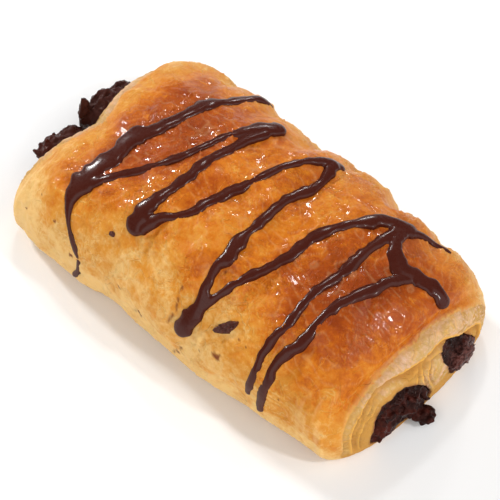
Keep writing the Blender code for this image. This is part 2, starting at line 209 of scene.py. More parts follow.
# Crumbs: filling, centre and half sizes in millimetres.
CRUMBS_MM = (
    ("filling_near", (73.9, -2.3, 3.2), (3.2, 3.3, 1.8)),
    ("filling_near", (70.8, -5.0, 7.0), (2.4, 4.2, 3.4)),
    ("filling_near", (69.6, -13.2, 6.2), (1.9, 5.6, 4.2)),
    ("filling_far", (70.2, 18.6, 7.2), (1.8, 5.4, 4.2)),
    ("filling_near", (-74.4, -10.2, 9.0), (2.8, 4.0, 4.8)),
    ("filling_near", (-74.6, -3.4, 6.8), (2.4, 5.2, 4.0)),
    ("filling_far", (-75.2, 5.3, 11.6), (1.8, 2.2, 7.0)),
    ("filling_far", (-75.4, 12.6, 10.6), (2.8, 5.6, 5.2)),
    ("filling_far", (-74.8, 20.6, 9.6), (2.6, 5.0, 4.8)),
)

# The drizzle, stroke by stroke: x in millimetres, angle round the roll, width in millimetres.
STROKES = (
    # a thick band that starts in a thin tail on the near side
    (
        (-32.5, 187, 2.2), (-30.6, 178, 2.0), (-33, 170, 2.4), (-36, 162, 2.0), (-39, 152, 2.2),
        (-40.8, 144, 3.2), (-42, 137, 5.6), (-42.2, 129, 8.2), (-41, 120, 8.2), (-40.2, 110, 7.7),
        (-40, 101, 7.8), (-39.6, 95, 7.8), (-36.6, 90, 5.6), (-35.5, 83, 5.4), (-34.2, 74, 5.6),
        (-33.2, 63, 5.8), (-31.4, 53, 4.6), (-29.6, 44, 4.2), (-27.5, 34, 3.6), (-25, 26, 2.8),
    ),
    # a thin one from that band to the far side, and back to a drop
    (
        (-39, 126, 4.6), (-35.5, 121, 3.4), (-32, 113.5, 3.4), (-28.5, 107, 3.2), (-25.5, 100, 3.0),
        (-22, 94, 3.4), (-20.6, 87, 2.6), (-18.8, 79, 3.0), (-16.8, 71, 3.6), (-14.5, 61, 4.8),
        (-12.6, 56, 6.0), (-11.9, 52, 6.4),
    ),
    (
        (-12.5, 62, 4.0), (-13.8, 73, 3.8), (-13.8, 80, 4.2), (-15, 90, 4.0), (-15.3, 100, 4.2),
        (-16, 108, 4.0), (-16.2, 115, 5.0), (-16.6, 123, 6.2), (-16.4, 132, 7.4),
    ),
    # from the drop to the far side, and back down to the next drop
    (
        (-14, 131, 4.8), (-11, 122, 3.8), (-8, 116, 3.6), (-5.6, 109, 3.6), (-5, 102, 3.4),
        (-2, 92, 3.8), (0.2, 85, 3.0), (2, 72, 2.8), (4, 59, 2.8), (6.5, 50, 3.8), (9.5, 41, 4.2),
    ),
    (
        (8.5, 48, 4.8), (11.2, 59, 4.2), (12, 68, 3.6), (11.2, 77, 3.2), (11, 86, 3.6),
        (11.2, 97, 3.6), (11, 107, 4.0), (12.6, 116, 4.8), (11.8, 123, 3.4), (12.6, 134, 4.0),
        (14, 144, 4.2), (13.8, 152, 5.6), (12.8, 160, 6.0), (12.2, 165, 5.4),
    ),
    # from there to the thick joint over the far side
    (
        (14.5, 147, 3.4), (16.4, 139, 2.8), (18.5, 127, 2.8), (21, 115, 3.2), (24, 103, 4.0),
        (24.6, 95, 3.8), (27, 85, 4.2), (30, 75, 4.4), (33, 65, 4.8), (36.5, 56, 5.6),
        (40, 51.5, 6.4),
    ),
    # a thin one over the far side
    ((41, 52, 4.6), (44, 43, 3.0), (48, 36.5, 2.6), (51.5, 34.8, 1.5)),
    # back down to the near side, thinning out
    (
        (38.8, 57, 4.6), (39.2, 68, 3.8), (39, 80, 3.6), (39.4, 90, 4.0), (38.4, 100, 3.6),
        (38.2, 112, 3.4), (38.5, 126, 3.4), (38.4, 137, 3.0), (38.1, 146, 2.4), (38.5, 157, 3.2),
        (38.3, 166, 2.8), (38.0, 177, 2.2),
    ),
    # the curl on the front, with its thick end
    (
        (39.2, 53, 6.0), (40.6, 62, 5.2), (44.0, 70, 5.2), (49.4, 72.5, 6.4), (53.8, 68.5, 7.0),
        (58.3, 66.4, 6.2), (61.8, 66, 5.8),
    ),
    # from the curl down to the near side
    (
        (52.5, 73, 4.6), (50.6, 82, 3.8), (48.6, 90, 4.0), (46, 100, 3.6), (45, 111, 3.2),
        (45.1, 122, 3.8), (45, 129, 4.4), (43.4, 138, 3.6), (42.4, 148, 3.2), (43.0, 158, 3.2),
        (42.8, 168, 3.2), (42.2, 181, 3.0),
    ),
)
# The lines follow the tops of the strokes, so their feet lie this much further on.
STROKE_SHIFT = (0.3, 0.5, 0.0)
# Loose bits of chocolate on the crust, as outlines in millimetres: along the roll, up its side.
DOT_OUTLINE_MM = (
    (1.2, 0.0), (0.9, 0.7), (0.1, 1.0), (-0.8, 0.8), (-1.2, 0.1), (-0.9, -0.7), (0.0, -1.0),
    (0.9, -0.7),
)
SHARD_OUTLINE_MM = (
    (-3.3, -3.2), (-2.3, -3.4), (-0.4, -2.5), (1.9, -1.0), (2.8, 2.0), (2.5, 3.7), (0.0, 2.4),
    (-2.4, -0.6),
)
# Where they lie: x in mm, angle, outline and height in mm.
BITS = ((-22, 145, DOT_OUTLINE_MM, 0.9), (24.6, 146, SHARD_OUTLINE_MM, 1.3))
# A bit's sections, from below: share of its outline and share of its height.
BIT_SECTIONS = ((0.8, -0.5), (1.0, 0.1), (0.92, 0.7), (0.75, 1.0))

# How brown the crust bakes: at an angle, at an x in mm, and in patches of x in mm, angle, their
# half sizes and how much darker (or paler) they are.
BROWNING_ROUND = (
    (-40, 0.10), (0, 0.14), (25, 0.30), (45, 0.50), (60, 0.58), (90, 0.56), (115, 0.50),
    (130, 0.44), (142, 0.32), (152, 0.22), (168, 0.15), (182, 0.10), (196, 0.04), (230, 0.10),
    (320, 0.30),
)
BROWNING_ALONG = (
    (-66, -0.30), (-60, -0.24), (-55, -0.17), (-50, -0.05), (-46, 0.03), (-30, 0.04), (-18, 0.0),
    (10, 0.0), (28, 0.03), (40, 0.10), (56, 0.10), (62, 0.04), (64, -0.02),
)
BROWNING_PATCHES = (
    (-42, 60, 13, 15, 0.18),
    (-38, 92, 11, 20, 0.30),
    (-33, 112, 9, 12, 0.18),
    (-24, 80, 8, 16, 0.26),
    (-47, 124, 6, 10, 0.18),
    (-40, 118, 5, 14, 0.10),
    (-20, 98, 9, 12, 0.18),
    (-10, 110, 7, 9, 0.08),
    (6, 90, 8, 10, 0.10),
    (52, 90, 10, 12, 0.12),
    (15, 128, 6, 8, 0.08),
    (-33, 132, 8, 8, 0.08),
    (-50, 138, 8, 12, 0.07),
    (22, 80, 8, 18, -0.08),
    (2, 120, 7, 18, -0.08),
    (34, 104, 9, 20, 0.24),
    (44, 88, 9, 14, 0.20),
    (49, 110, 12, 14, 0.24),
    (54, 78, 10, 16, 0.14),
    # the next patch is paler partly from less browning and partly as painted sheen of glancing
    # light on the far side
    (52, 8, 26, 22, -0.30),
    (20, 0, 20, 16, -0.10),
    (50, 60, 12, 13, 0.12),
    (26, 141, 7, 9, -0.14),
    (7, 134, 3, 13, 0.20),
    (50, 150, 14, 14, 0.10),
    (56, 166, 8, 18, 0.08),
    (-44, 152, 10, 10, 0.08),
)
# Where the glaze catches the light most, in patches of x in mm, angle and half sizes.
GLAZE_PATCHES = (
    (-30, 78, 17, 56),
    (-12, 128, 12, 16),
    (8, 76, 15, 54),
    (34, 80, 13, 54),
    (51, 74, 12, 54),
    (26, 128, 20, 14),
    (14, 106, 8, 14),
)
# Small dark marks where sugar burned: x in mm, angle and half size in mm.
SPECKS = (
    (-43, 159, 0.6), (-34, 177, 0.8), (26, 166, 1.3), (30, 147, 0.45), (33, 148, 0.35),
    (15, 123, 0.4), (-57, 167, 0.5), (-5, 181, 0.9), (36.8, 186, 0.5), (12, 182, 0.7),
    (20, 171, 0.4), (48, 168, 0.5), (-14, 176, 0.5), (-52, 148, 0.4),
)
# Length on the side of the roll for each degree round it, in mm.
MM_PER_DEGREE = 0.62
# Low on the near side the crust draws in: where that starts and ends, and how deep it goes.
SKIRT_ANGLES = (180.5, 182.5, 200, 240)
SKIRT_DEPTH = 0.00045
# Relief of the streaks along the roll, low on the near side by the ends.
END_STREAKS = 0.00022
# How far underneath the crust's points lie apart.
BASE_SPACING = 0.0045
# Points further than this from the crust's own lie on the walls of the cut channels.
CUT_GAP = 0.0012
# Where the ends lie: for the faces' browning, the stain on them and the fillings' crumbs.
FACE_X_MM = 63.0
STAIN_FROM = (0.0640, 0.0650)
CRUMBLY_FROM = (0.0635, 0.0665)
# Thin brown cracks between two flakes on the near side, as x in mm and angle.
CRACK_WIDTH_MM = 0.45
CRACK_DEPTH = 0.00035
CRACKS = (
    ((7.2, 141), (7.8, 150), (8.6, 158), (7.6, 168)),
    ((13.0, 180), (10.6, 184), (9.2, 190)),
    ((-8.0, 182), (-5.5, 180.5), (-3.0, 181)),
)

# The lights: where each stands, the side of its square in metres, and its power in watts.
LIGHTS = (
    ("key", (-1.12, 0.04, 0.65), 0.14, 10.0),
    ("top", (-0.56, 0.585, 1.02), 0.13, 2.6),
    ("glint", (0.95, 0.25, 0.90), 0.09, 4.5),
    ("rim", (-0.60, 1.10, 0.55), 0.10, 2.2),
    ("fill", (0.75, -2.00, 1.50), 3.00, 45.0),
    ("side", (1.90, 0.70, 1.30), 2.80, 29.0),
)


# Sizes and shapes


def smooth_curve(pairs, at):
    """Cubic curve through pairs of place and value, flat beyond both ends."""
    places, values = np.array(pairs, float).T
    at = np.clip(at, places[0], places[-1])
    low = np.clip(np.searchsorted(places, at, side="right") - 1, 0, len(places) - 2)
    before = np.maximum(low - 1, 0)
    after = np.minimum(low + 2, len(places) - 1)
    span = places[low + 1] - places[low]
    slope_0 = (values[low + 1] - values[before]) / (places[low + 1] - places[before]) * span
    slope_1 = (values[after] - values[low]) / (places[after] - places[low]) * span
    t = (at - places[low]) / span
    return (
        (2 * t**3 - 3 * t**2 + 1) * values[low]
        + (t**3 - 2 * t**2 + t) * slope_0
        + (3 * t**2 - 2 * t**3) * values[low + 1]
        + (t**3 - t**2) * slope_1
    )


def signed_power(value, power):
    return np.sign(value) * np.abs(value) ** power


def ease(value, low, high):
    """0 below low, 1 above high and a smooth rise between them."""
    t = np.clip((value - low) / (high - low), 0, 1)
    return t * t * (3 - 2 * t)


def noise_at(points, size, shift=0.0):
    """Soft noise of about -0.6 to 0.6 with lumps of the given size."""
    flat = (np.reshape(points, (-1, 3)) / size + shift).tolist()
    return np.array([noise.noise(p) for p in flat]).reshape(np.shape(points)[:-1])


def unit(vectors):
    return vectors / np.linalg.norm(vectors, axis=-1, keepdims=True)


def plain_roll(along, angle):
    """Points of the bare roll, for along from -1 to 1 and angles in degrees."""
    along, angle = np.broadcast_arrays(np.asarray(along, float), np.asarray(angle, float))
    cos_a, sin_a = np.cos(np.radians(angle)), np.sin(np.radians(angle))
    x = along * CRUST_LENGTH / 2
    stations = np.array(ROLL_STATIONS_MM) * MM
    near, far, height = (smooth_curve(stations[:, (0, k)], x) for k in (1, 2, 3))
    shoulder = np.sqrt(np.clip(1 - np.abs(along) ** END_SHARPNESS, 0, 1))
    height = height * (1 - END_DROP * (1 - shoulder))
    half_width = (far - near) / 2 - END_TUCK * (1 - shoulder)
    widest_z = height * WIDEST_AT
    upper = sin_a >= 0
    power = np.where(upper, 2 / TOP_ROUNDNESS, 2 / FOOT_ROUNDNESS)
    reach = np.where(upper, height - widest_z, widest_z + FOOT_SINK)
    z = widest_z + reach * signed_power(sin_a, power)
    y = (near + far) / 2 + half_width * signed_power(cos_a, power)
    tail = np.where(along < 0, np.abs(along) ** END_SHARPNESS, 0.0)
    dent = BACK_DENT * np.exp(-(((y - BACK_DENT_Y) / BACK_DENT_WIDTH) ** 2)) * z / height
    x = x + (BACK_DRAW - BACK_EAR * cos_a**2 - BACK_SKEW * cos_a + dent) * tail
    return np.stack((x, y, np.maximum(z, 0.0)), axis=-1)


def roll_normal(along, angle):
    step = 0.01
    low, high = np.maximum(along - step, -0.995), np.minimum(along + step, 0.995)
    lengthways = plain_roll(high, angle) - plain_roll(low, angle)
    around = plain_roll(along, angle + 1.0) - plain_roll(along, angle - 1.0)
    return unit(np.cross(around, lengthways))


def crust_point(along, angle):
    """Points of the crust as the solid has it, with its blisters and the far side's folds."""
    points = plain_roll(along, angle)
    relief = BLISTER_HEIGHT * noise_at(points, BLISTER_SIZE)
    turned = (angle + 180) % 360 - 180
    beside = np.exp(-(((turned - FOLD_ANGLE) / FOLD_SPREAD) ** 2))
    for fold_x in FOLD_X_MM:
        across = (points[..., 0] - fold_x * MM) / FOLD_WIDTH
        relief -= FOLD_DEPTH * beside * np.exp(-(across**2))
    fade = np.clip(points[..., 2] / 0.008, 0, 1) * np.clip((1 - np.abs(along)) / 0.04, 0, 1)
    return points + roll_normal(along, angle) * (relief * fade)[..., None]


def even_steps(points, spacing, settings):
    """Picks settings so that the points they stand for lie a spacing apart, which may vary."""
    steps = np.linalg.norm(np.diff(points, axis=0), axis=1) / (spacing[1:] + spacing[:-1]) * 2
    travelled = np.concatenate(([0.0], np.cumsum(steps)))
    count = math.ceil(travelled[-1])
    return np.interp(np.linspace(0, travelled[-1], count + 1), travelled, settings)


# The crust's and the dough's fine relief


def winding_level(points, size, shift):
    """Noise whose zero line winds over the surface, with bends of the given size."""
    drift = [noise_at(points, 0.7 * size, shift + 9.0 * k) for k in range(3)]
    return noise_at(points + 0.55 * size * np.stack(drift, axis=-1), size, shift + 31.0)


def wrinkle_relief(points, size, height):
    """Lumps and broken, winding creases, as a glazed film has once it has puffed up and sunk."""
    level = winding_level(points, 1.5 * size, 3.0)
    wide = np.exp(-((level / 0.06) ** 2)) * ease(noise_at(points, 2.2 * size, 5.0), -0.20, 0.15)
    crumpled = ease(noise_at(points, 2.0 * size, 13.0), -0.15, 0.2)
    level = winding_level(points, 0.55 * size, 11.0)
    narrow = np.exp(-((level / 0.17) ** 2)) * crumpled
    puffs = np.abs(level) * crumpled
    lumps = noise_at(points, size * 1.7, 21.0)
    relief = height * (0.8 * wide + 0.6 * narrow + 1.0 * puffs + 1.5 * lumps)
    return relief, np.maximum(wide, 0.75 * narrow)


def flake_relief(points, height):
    """Overlapping flakes: each layer rises slowly and ends in a sharp edge."""
    stretched = points * np.array((0.55, 1.0, 1.25))
    level = noise_at(stretched, 0.013, 31.0) * 5.0 + noise_at(points, 0.0045, 37.0) * 0.8
    share = level - np.floor(level)
    edge = ease(share, 0.86, 1.0)
    return height * (share - edge), np.exp(-(((share - 0.88) / 0.07) ** 2))


def distance_to_line(points, line):
    """How far points in a plane are from a line of corners, on which side, and how far along."""
    best = np.full(len(points), np.inf)
    side = np.zeros(len(points))
    along = np.zeros(len(points))
    line = np.array(line, float)
    lengths = np.linalg.norm(np.diff(line, axis=0), axis=1)
    total = lengths.sum()
    passed = 0.0
    for start, end, length in zip(line, line[1:], lengths):
        way = (end - start) / length
        reach = np.clip((points - start) @ way, 0, length)
        gap = points - (start + reach[:, None] * way)
        far = np.linalg.norm(gap, axis=1)
        closer = far < best
        best = np.where(closer, far, best)
        side = np.where(closer, np.sign(way[0] * gap[:, 1] - way[1] * gap[:, 0]), side)
        along = np.where(closer, (passed + reach) / total, along)
        passed += length
    return best, side, along


def layer_edge(depth, thickness):
    """Relief across the edge of a layer of dough: a thin lip, then a crease behind it."""
    lip = np.exp(-((depth / (0.45 * thickness)) ** 2))
    crease = np.exp(-(((depth - thickness) / (0.6 * thickness)) ** 2))
    return 0.5 * lip - 0.75 * crease, lip, crease


# Bodies


def select_only(*bodies):
    bpy.ops.object.select_all(action="DESELECT")
    for body in bodies:
        body.select_set(True)
    bpy.context.view_layer.objects.active = bodies[0]


def points_of(body):
    points = np.empty(len(body.data.vertices) * 3, np.float32)
    body.data.vertices.foreach_get("co", points)
    return points.reshape(-1, 3).astype(float)


def set_points(body, points):
    body.data.vertices.foreach_set("co", np.asarray(points, np.float32).ravel())
    body.data.update()


def wrap_grid(name, rows):
    """A closed body: a grid laid over rows of points and sewn up, its ends drawn to a point."""
    ends = [np.broadcast_to(row.mean(axis=0), row.shape) for row in (rows[0], rows[-1])]
    rows = np.concatenate((ends[:1], rows, ends[1:]))
    count, sides = rows.shape[:2]
    bpy.ops.object.select_all(action="DESELECT")
    bpy.ops.mesh.primitive_grid_add(x_subdivisions=sides, y_subdivisions=count - 1, size=1)
    body = bpy.context.object
    body.name = name
    grid = points_of(body) + 0.5
    column = np.rint(grid[:, 0] * sides).astype(int) % sides
    row = np.rint(grid[:, 1] * (count - 1)).astype(int)
    set_points(body, rows[row, column])
    bpy.ops.object.mode_set(mode="EDIT")
    bpy.ops.mesh.select_all(action="SELECT")
    bpy.ops.mesh.remove_doubles(threshold=1e-6)
    bpy.ops.mesh.normals_make_consistent(inside=False)
    bpy.ops.object.mode_set(mode="OBJECT")
    return body


def add_lump(name, centre, half_sizes, detail, roughness, grain):
    """An uneven lump, modelled from an ico sphere."""
    bpy.ops.object.select_all(action="DESELECT")
    bpy.ops.mesh.primitive_ico_sphere_add(subdivisions=detail, radius=1.0)
    lump = bpy.context.object
    lump.name = name
    ball = points_of(lump)
    rough = 1 + roughness * noise_at(ball * grain + np.array(centre) / MM, 1.0)
    set_points(lump, np.array(centre) + ball * np.array(half_sizes) * rough[:, None])
    return lump


def apply_modifier(body, kind, **settings):
    modifier = body.modifiers.new(kind.lower(), kind)
    for name, value in settings.items():
        setattr(modifier, name, value)
    select_only(body)
    bpy.ops.object.modifier_apply(modifier=modifier.name)


def join(name, bodies):
    select_only(*bodies)
    bpy.ops.object.join()
    joined = bpy.context.object
    joined.name = name
    select_only(joined)
    bpy.ops.object.transform_apply(location=True, rotation=True, scale=True)
    return joined


def finish_piece(piece, material, slot, *nodes):
    """Moves the piece to where the solids stand, dresses it and hands it to the frame."""
    piece.data.transform(Matrix.Translation(OFFSET))
    piece.data.materials.clear()
    piece.data.materials.append(material)
    piece.data.shade_smooth()
    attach(piece, "root")
    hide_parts(*nodes)


def add_values(body, **values):
    """Stores a value for each point of the body under each name."""
    for name, value in values.items():
        layer = body.data.attributes.new(name, "FLOAT", "POINT")
        layer.data.foreach_set("value", np.asarray(value, np.float32))


# The crust and its dough


def face_rows(rim, angle, end, places):
    """Rows of an end face, from its rim inwards, with what shows there."""
    seam = smooth_curve(SEAM_AT, angle)
    middle = np.array((rim[:, 0].mean(), rim[:, 1].mean(), FACE_CENTRE_Z))
    radius = np.linalg.norm((rim - middle)[:, 1:], axis=1)
    place = places[:, None]
    share = np.where(place <= 1, 1 - place * (1 - seam), seam * (2 - place))
    layers = np.clip((np.sin(np.radians(angle)) - LAYERS_FROM) / (1 - LAYERS_FROM), 0, 1)
    swell = FACE_SWELL * np.clip(1 - share**SWELL_FALL, 0, 1) ** SWELL_POWER
    swell = swell + smooth_curve(FACE_RINGS, places)[:, None] * layers
    rows = middle + (rim - middle) * share[..., None]
    rows[..., 0] += end * swell

    flat = rows.reshape(-1, 3)
    shares, radii = share.ravel(), np.tile(radius, len(places))
    angles = np.tile(angle, len(places))
    relief = np.zeros(len(flat))
    lips = np.zeros(len(flat))
    creases = np.zeros(len(flat))
    wobble = 0.0005 * noise_at(flat, 0.006, 51.0)

    def add_edge(depth, thickness, strength):
        height, lip, crease = layer_edge(depth, thickness)
        relief[:] += height * thickness * strength
        lips[:] = np.maximum(lips, lip * strength)
        # the crease value darkens the colour behind each edge: painted shade
        creases[:] = np.maximum(creases, crease * strength)

    upper = ease(np.sin(np.radians(angles)), -0.35, 0.0)
    crust_edge = smooth_curve(CRUST_EDGE_AT, angles)
    crust_depth = (crust_edge - shares) * radii + wobble
    add_edge(crust_depth, CRUST_EDGE_THICKNESS, 0.55 * upper)
    seam_depth = (smooth_curve(SEAM_AT, angles) - shares) * radii
    add_edge(seam_depth + 0.5 * wobble, SEAM_THICKNESS, upper)
    for line in LAYER_EDGES:
        start, stop = line[0][0], line[-1][0]
        inside = ease(angles, start, start + 8) * ease(-angles, -stop - 6, -stop)
        depth = (smooth_curve(line, angles) - shares) * radii
        add_edge(depth + wobble, LAYER_THICKNESS, 0.8 * inside)
    if end > 0:
        for line in CURL_EDGES_MM:
            gap, side, along = distance_to_line(flat[:, 1:] / MM, line)
            fade = ease(along, 0.0, 0.12) * ease(-along, -1.0, -0.8)
            add_edge(gap * side * MM + 0.5 * wobble, CURL_THICKNESS, 0.9 * fade * (gap < 3))

    # the flaky layers break into chunks, each with a tone of its own
    first = ease(crust_depth, -0.0002, 0.0005) * ease(-seam_depth, 0.0, 0.0008)
    second = ease(seam_depth, 0.0006, 0.0014) * ease(-seam_depth, -0.0050, -0.0030)
    second = second * ease(angles, 98, 112) * ease(-angles, -170, -150) * 0.9
    from_curl = (flat[:, 1:] / MM - CURL_PATCH_MM) / CURL_PATCH_SIZE_MM
    between = np.exp(-(from_curl**2).sum(axis=1))
    flaky = np.maximum(np.maximum(first, second), ease(between, 0.2, 0.6)) * upper
    round_way = np.radians(angles) * radii + 0.0016 * noise_at(flat, 0.0032, 61.0)
    chunk_place = round_way / CHUNK_LENGTH + 1.2 * noise_at(flat, 0.009, 63.0)
    chunk = np.floor(chunk_place)
    border = np.abs(chunk_place - chunk - 0.5) * 2
    level = np.sin(chunk * SCATTER[0] + np.where(seam_depth > 0, 2.1, 0.0)) * SCATTER[1]
    level = level - np.floor(level)
    near_fade = 1 - 0.7 * ease(angles, 112, 142)
    tone = flaky * (0.30 + 0.68 * level) * near_fade * (1 - 0.3 * second)
    tone = tone + 0.15 * flaky * ease(-angles, -60, -35)
    relief += flaky * (CHUNK_RELIEF * level - CHUNK_RELIEF * ease(border, 0.8, 1.0))
    # the chunks' borders are darkened as well: painted shade in the crevices
    creases = np.maximum(creases, 0.45 * flaky * ease(border, 0.88, 1.0))
    beside_border = ease(border, 0.66, 0.80) * ease(-border, -0.92, -0.84)
    lips = np.maximum(lips, 0.35 * flaky * beside_border)
    drawn_out = np.stack((round_way * 0.25, shares * 0.04, np.zeros(len(flat))), axis=-1)
    streaks = noise_at(drawn_out, 0.0012, 65.0)
    relief += FACE_STREAKS * streaks * (1 - flaky) * ease(crust_depth, 0, 0.001) * upper
    grains = noise_at(flat, 0.0014, 71.0)
    relief += FACE_GRAINS * grains * ease(crust_depth, 0, 0.002) * (0.5 + flaky)
    dough = ease(crust_depth + 0.0005 * noise_at(flat, 0.0010, 81.0), -0.0001, 0.0004)
    flat[:, 0] += end * relief
    ridge = np.zeros(len(flat))
    return rows, {"dough": dough, "lip": lips, "crease": creases, "ridge": ridge, "tone": tone}


def pocket_stain(points):
    """How much filling has soaked into the dough, by the distance from the fillings."""
    stain = np.zeros(len(points))
    for name in FILLINGS_MM:
        share = length_share(points[:, 0])
        gap = points[:, 1:] - section_middle(name, share)
        angle = np.degrees(np.arctan2(gap[:, 1], gap[:, 0])) % 360
        out = np.linalg.norm(gap, axis=1) - section_reach(name, share, angle)
        stain = np.maximum(stain, np.exp(-np.clip(out, 0, None) / STAIN_REACH))
    return np.clip(stain * (1 + 0.8 * noise_at(points, 0.002, 91.0)), 0, 1)


def patch_reach(x_mm, turned, patch):
    """Squared distance from a patch's middle, as a share of its half sizes."""
    x_at, angle_at, x_reach, angle_reach = patch
    return ((x_mm - x_at) / x_reach) ** 2 + ((turned - angle_at) / angle_reach) ** 2


def browning_of(x_mm, angle, points):
    """How brown the crust is, from 0 for pale gold to 1 for dark."""
    turned = (angle + 40) % 360 - 40
    brown = smooth_curve(BROWNING_ROUND, turned) + smooth_curve(BROWNING_ALONG, x_mm)
    for *patch, amount in BROWNING_PATCHES:
        brown = brown + amount * np.exp(-patch_reach(x_mm, turned, patch))
    return brown + 0.17 * noise_at(points, 0.009, 101.0) + 0.12 * noise_at(points, 0.0035, 111.0)


def crust_columns(settings):
    """Angles of the crust's columns: close together where the roll shows, wide apart below."""
    angle = np.linspace(-90, 270, 3601)
    points = plain_roll(0.0, angle)
    below = points[:, 2] < 0.0005
    beside = (points[:, 2] < 0.015) & ~below
    spacing = settings.point_spacing * np.where(beside, 1.35, 1.0)
    spacing = np.where(below, BASE_SPACING, spacing)
    return even_steps(points, spacing, angle)[:-1]


def burned_marks(points, x_mm, turned):
    """Specks and cracks: how dark they are, and how deep the cracks go."""
    mark = np.zeros(len(points))
    depth = np.zeros(len(points))
    down_side = (turned - 90) * MM_PER_DEGREE
    for x_at, angle_at, size in SPECKS:
        away = np.hypot(x_mm - x_at, down_side - (angle_at - 90) * MM_PER_DEGREE)
        rough = size * (1 + 0.9 * noise_at(points, 0.0008, 131.0)) if size > 0.4 else size
        mark = np.maximum(mark, ease(-away / rough, -1.25, -0.6))
    for line in CRACKS:
        bent = [(x, (a - 90) * MM_PER_DEGREE) for x, a in line]
        gap, _, _ = distance_to_line(np.stack((x_mm, down_side), axis=-1), bent)
        broken = ease(noise_at(points, 0.0016, 141.0), -0.25, 0.1)
        crack = np.exp(-((gap / CRACK_WIDTH_MM) ** 2)) * broken
        mark = np.maximum(mark, 0.9 * crack)
        depth += CRACK_DEPTH * crack
    return mark, depth


def dress_roll(rows, normals, along, angle, settings):
    """Lays the fine relief on the roll's rows and tells what shows at each point."""
    flat = rows.reshape(-1, 3)
    x_mm, angles = (along * CRUST_LENGTH / 2 / MM).ravel(), angle.ravel()
    turned = (angles + 40) % 360 - 40
    foot = ease(flat[:, 2], 0.0015, 0.008)
    top = ease(flat[:, 2], 0.014, 0.026)
    rim = ease(1 - np.abs(along.ravel()), 0.004, 0.05)
    wrinkles, ridge = wrinkle_relief(flat, settings.wrinkle_size, settings.wrinkle_height)
    flakes, flake_edge = flake_relief(flat, settings.flake_height)
    relief = wrinkles * (0.35 + 0.65 * top) + flakes * (1.25 - 0.75 * top)
    wobble = 4.0 * noise_at(flat * np.array((1, 0, 0)), 0.012, 121.0)
    rise_from, rise_to, fall_from, fall_to = SKIRT_ANGLES
    skirt = ease(turned + wobble, rise_from, rise_to) * ease(-turned, -fall_to, -fall_from)
    relief -= SKIRT_DEPTH * skirt
    mark, depth = burned_marks(flat, x_mm, turned)
    relief -= depth
    round_way = np.radians(turned) * 0.10 * ROLL_RADIUS
    drawn_out = np.stack((flat[:, 0], round_way, np.zeros(len(flat))), axis=-1)
    streaks = noise_at(drawn_out, 0.0016, 155.0)
    near_end = ease(np.abs(x_mm), 50, 58) * ease(turned, 125, 155) * foot
    relief += END_STREAKS * streaks * near_end
    flat += normals.reshape(-1, 3) * (relief * foot * (0.25 + 0.75 * rim))[:, None]
    glaze = np.zeros(len(flat))
    for patch in GLAZE_PATCHES:
        glaze = np.maximum(glaze, np.exp(-(patch_reach(x_mm, turned, patch) ** 2)))
    streak_lips = 0.7 * near_end * ease(streaks, 0.0, 0.4)
    return {
        "dough": np.zeros(len(flat)),
        "lip": np.maximum(flake_edge * (0.8 - 0.5 * top) * foot, streak_lips),
        "crease": np.zeros(len(flat)),
        "ridge": ridge,
        "tone": np.zeros(len(flat)),
        "browning": browning_of(x_mm, angles, flat) - 0.10 * skirt,
        "mark": mark,
        "glaze": glaze * (0.7 + 0.6 * noise_at(flat, 0.006, 151.0)),
    }


def dress_face(rim, angle, end, count):
    """An end face's rows in the order of the roll's, with what shows at each point."""
    places = np.interp(np.linspace(0, 1, count + 1)[1:-1], RING_SHARES, RING_PLACES)
    face, values = face_rows(rim, angle, end, places)
    points = face.reshape(-1, 3)
    face_x = np.full(len(points), end * FACE_X_MM)
    values["browning"] = browning_of(face_x, np.tile(angle, len(places)), points)
    values["mark"] = np.zeros(len(points))
    values["glaze"] = np.full(len(points), 0.2)
    if end < 0:
        face = face[::-1]
        for name, value in values.items():
            values[name] = value.reshape(len(places), -1)[::-1].ravel()
    return face, values


def carry_values(body, rows, stored):
    """Gives each point of the cut body the values of the nearest point that it was made from."""
    tree = kdtree.KDTree(len(stored["dough"]))
    for k, point in enumerate(rows.reshape(-1, 3).tolist()):
        tree.insert(point, k)
    tree.balance()
    points = points_of(body)
    found = [tree.find(point)[1:] for point in points.tolist()]
    nearest = np.array([index for index, _ in found])
    cut_away = np.array([gap for _, gap in found]) > CUT_GAP
    values = {name: value[nearest] for name, value in stored.items()}
    values["dough"] = np.where(cut_away, 1.0, values["dough"])
    stain = pocket_stain(points) * ease(np.abs(points[:, 0]), *STAIN_FROM)
    add_values(body, stain=np.where(cut_away, 1.0, stain), **values)


def make_crust(settings):
    """The roll with its crust and dough, cut out for the fillings."""
    angle = crust_columns(settings)
    fine_along = np.sin(np.linspace(-math.pi / 2, math.pi / 2, 4001))
    profile = plain_roll(fine_along, 90.0)
    along = even_steps(profile, np.full(len(profile), settings.point_spacing), fine_along)
    grid_along, grid_angle = np.meshgrid(along, angle, indexing="ij")
    rows = crust_point(grid_along, grid_angle)
    normals = roll_normal(grid_along, grid_angle)
    values = dress_roll(rows, normals, grid_along, grid_angle, settings)
    back, back_values = dress_face(rows[0], angle, -1, settings.back_rings)
    front, front_values = dress_face(rows[-1], angle, 1, settings.front_rings)
    all_rows = np.concatenate((back, rows, front))
    stored = {
        name: np.concatenate((back_values[name], value, front_values[name]))
        for name, value in values.items()
    }
    body = wrap_grid("crust", all_rows)
    for name in FILLINGS_MM:
        cutter = make_channel(name)
        apply_modifier(body, "BOOLEAN", operation="DIFFERENCE", object=cutter, solver="MANIFOLD")
        bpy.data.objects.remove(cutter)
    carry_values(body, all_rows, stored)
    return body


# The fillings


def length_share(x):
    """0 at the back end's section and 1 at the front end's."""
    return np.clip(x / FILLING_LENGTH + 0.5, 0, 1)


def section_middle(name, share):
    """Middle of a filling's section, as y and z."""
    back, front = (np.array(FILLINGS_MM[name][end][0]) * MM for end in ("back", "front"))
    return back + (front - back) * np.asarray(share)[..., None]


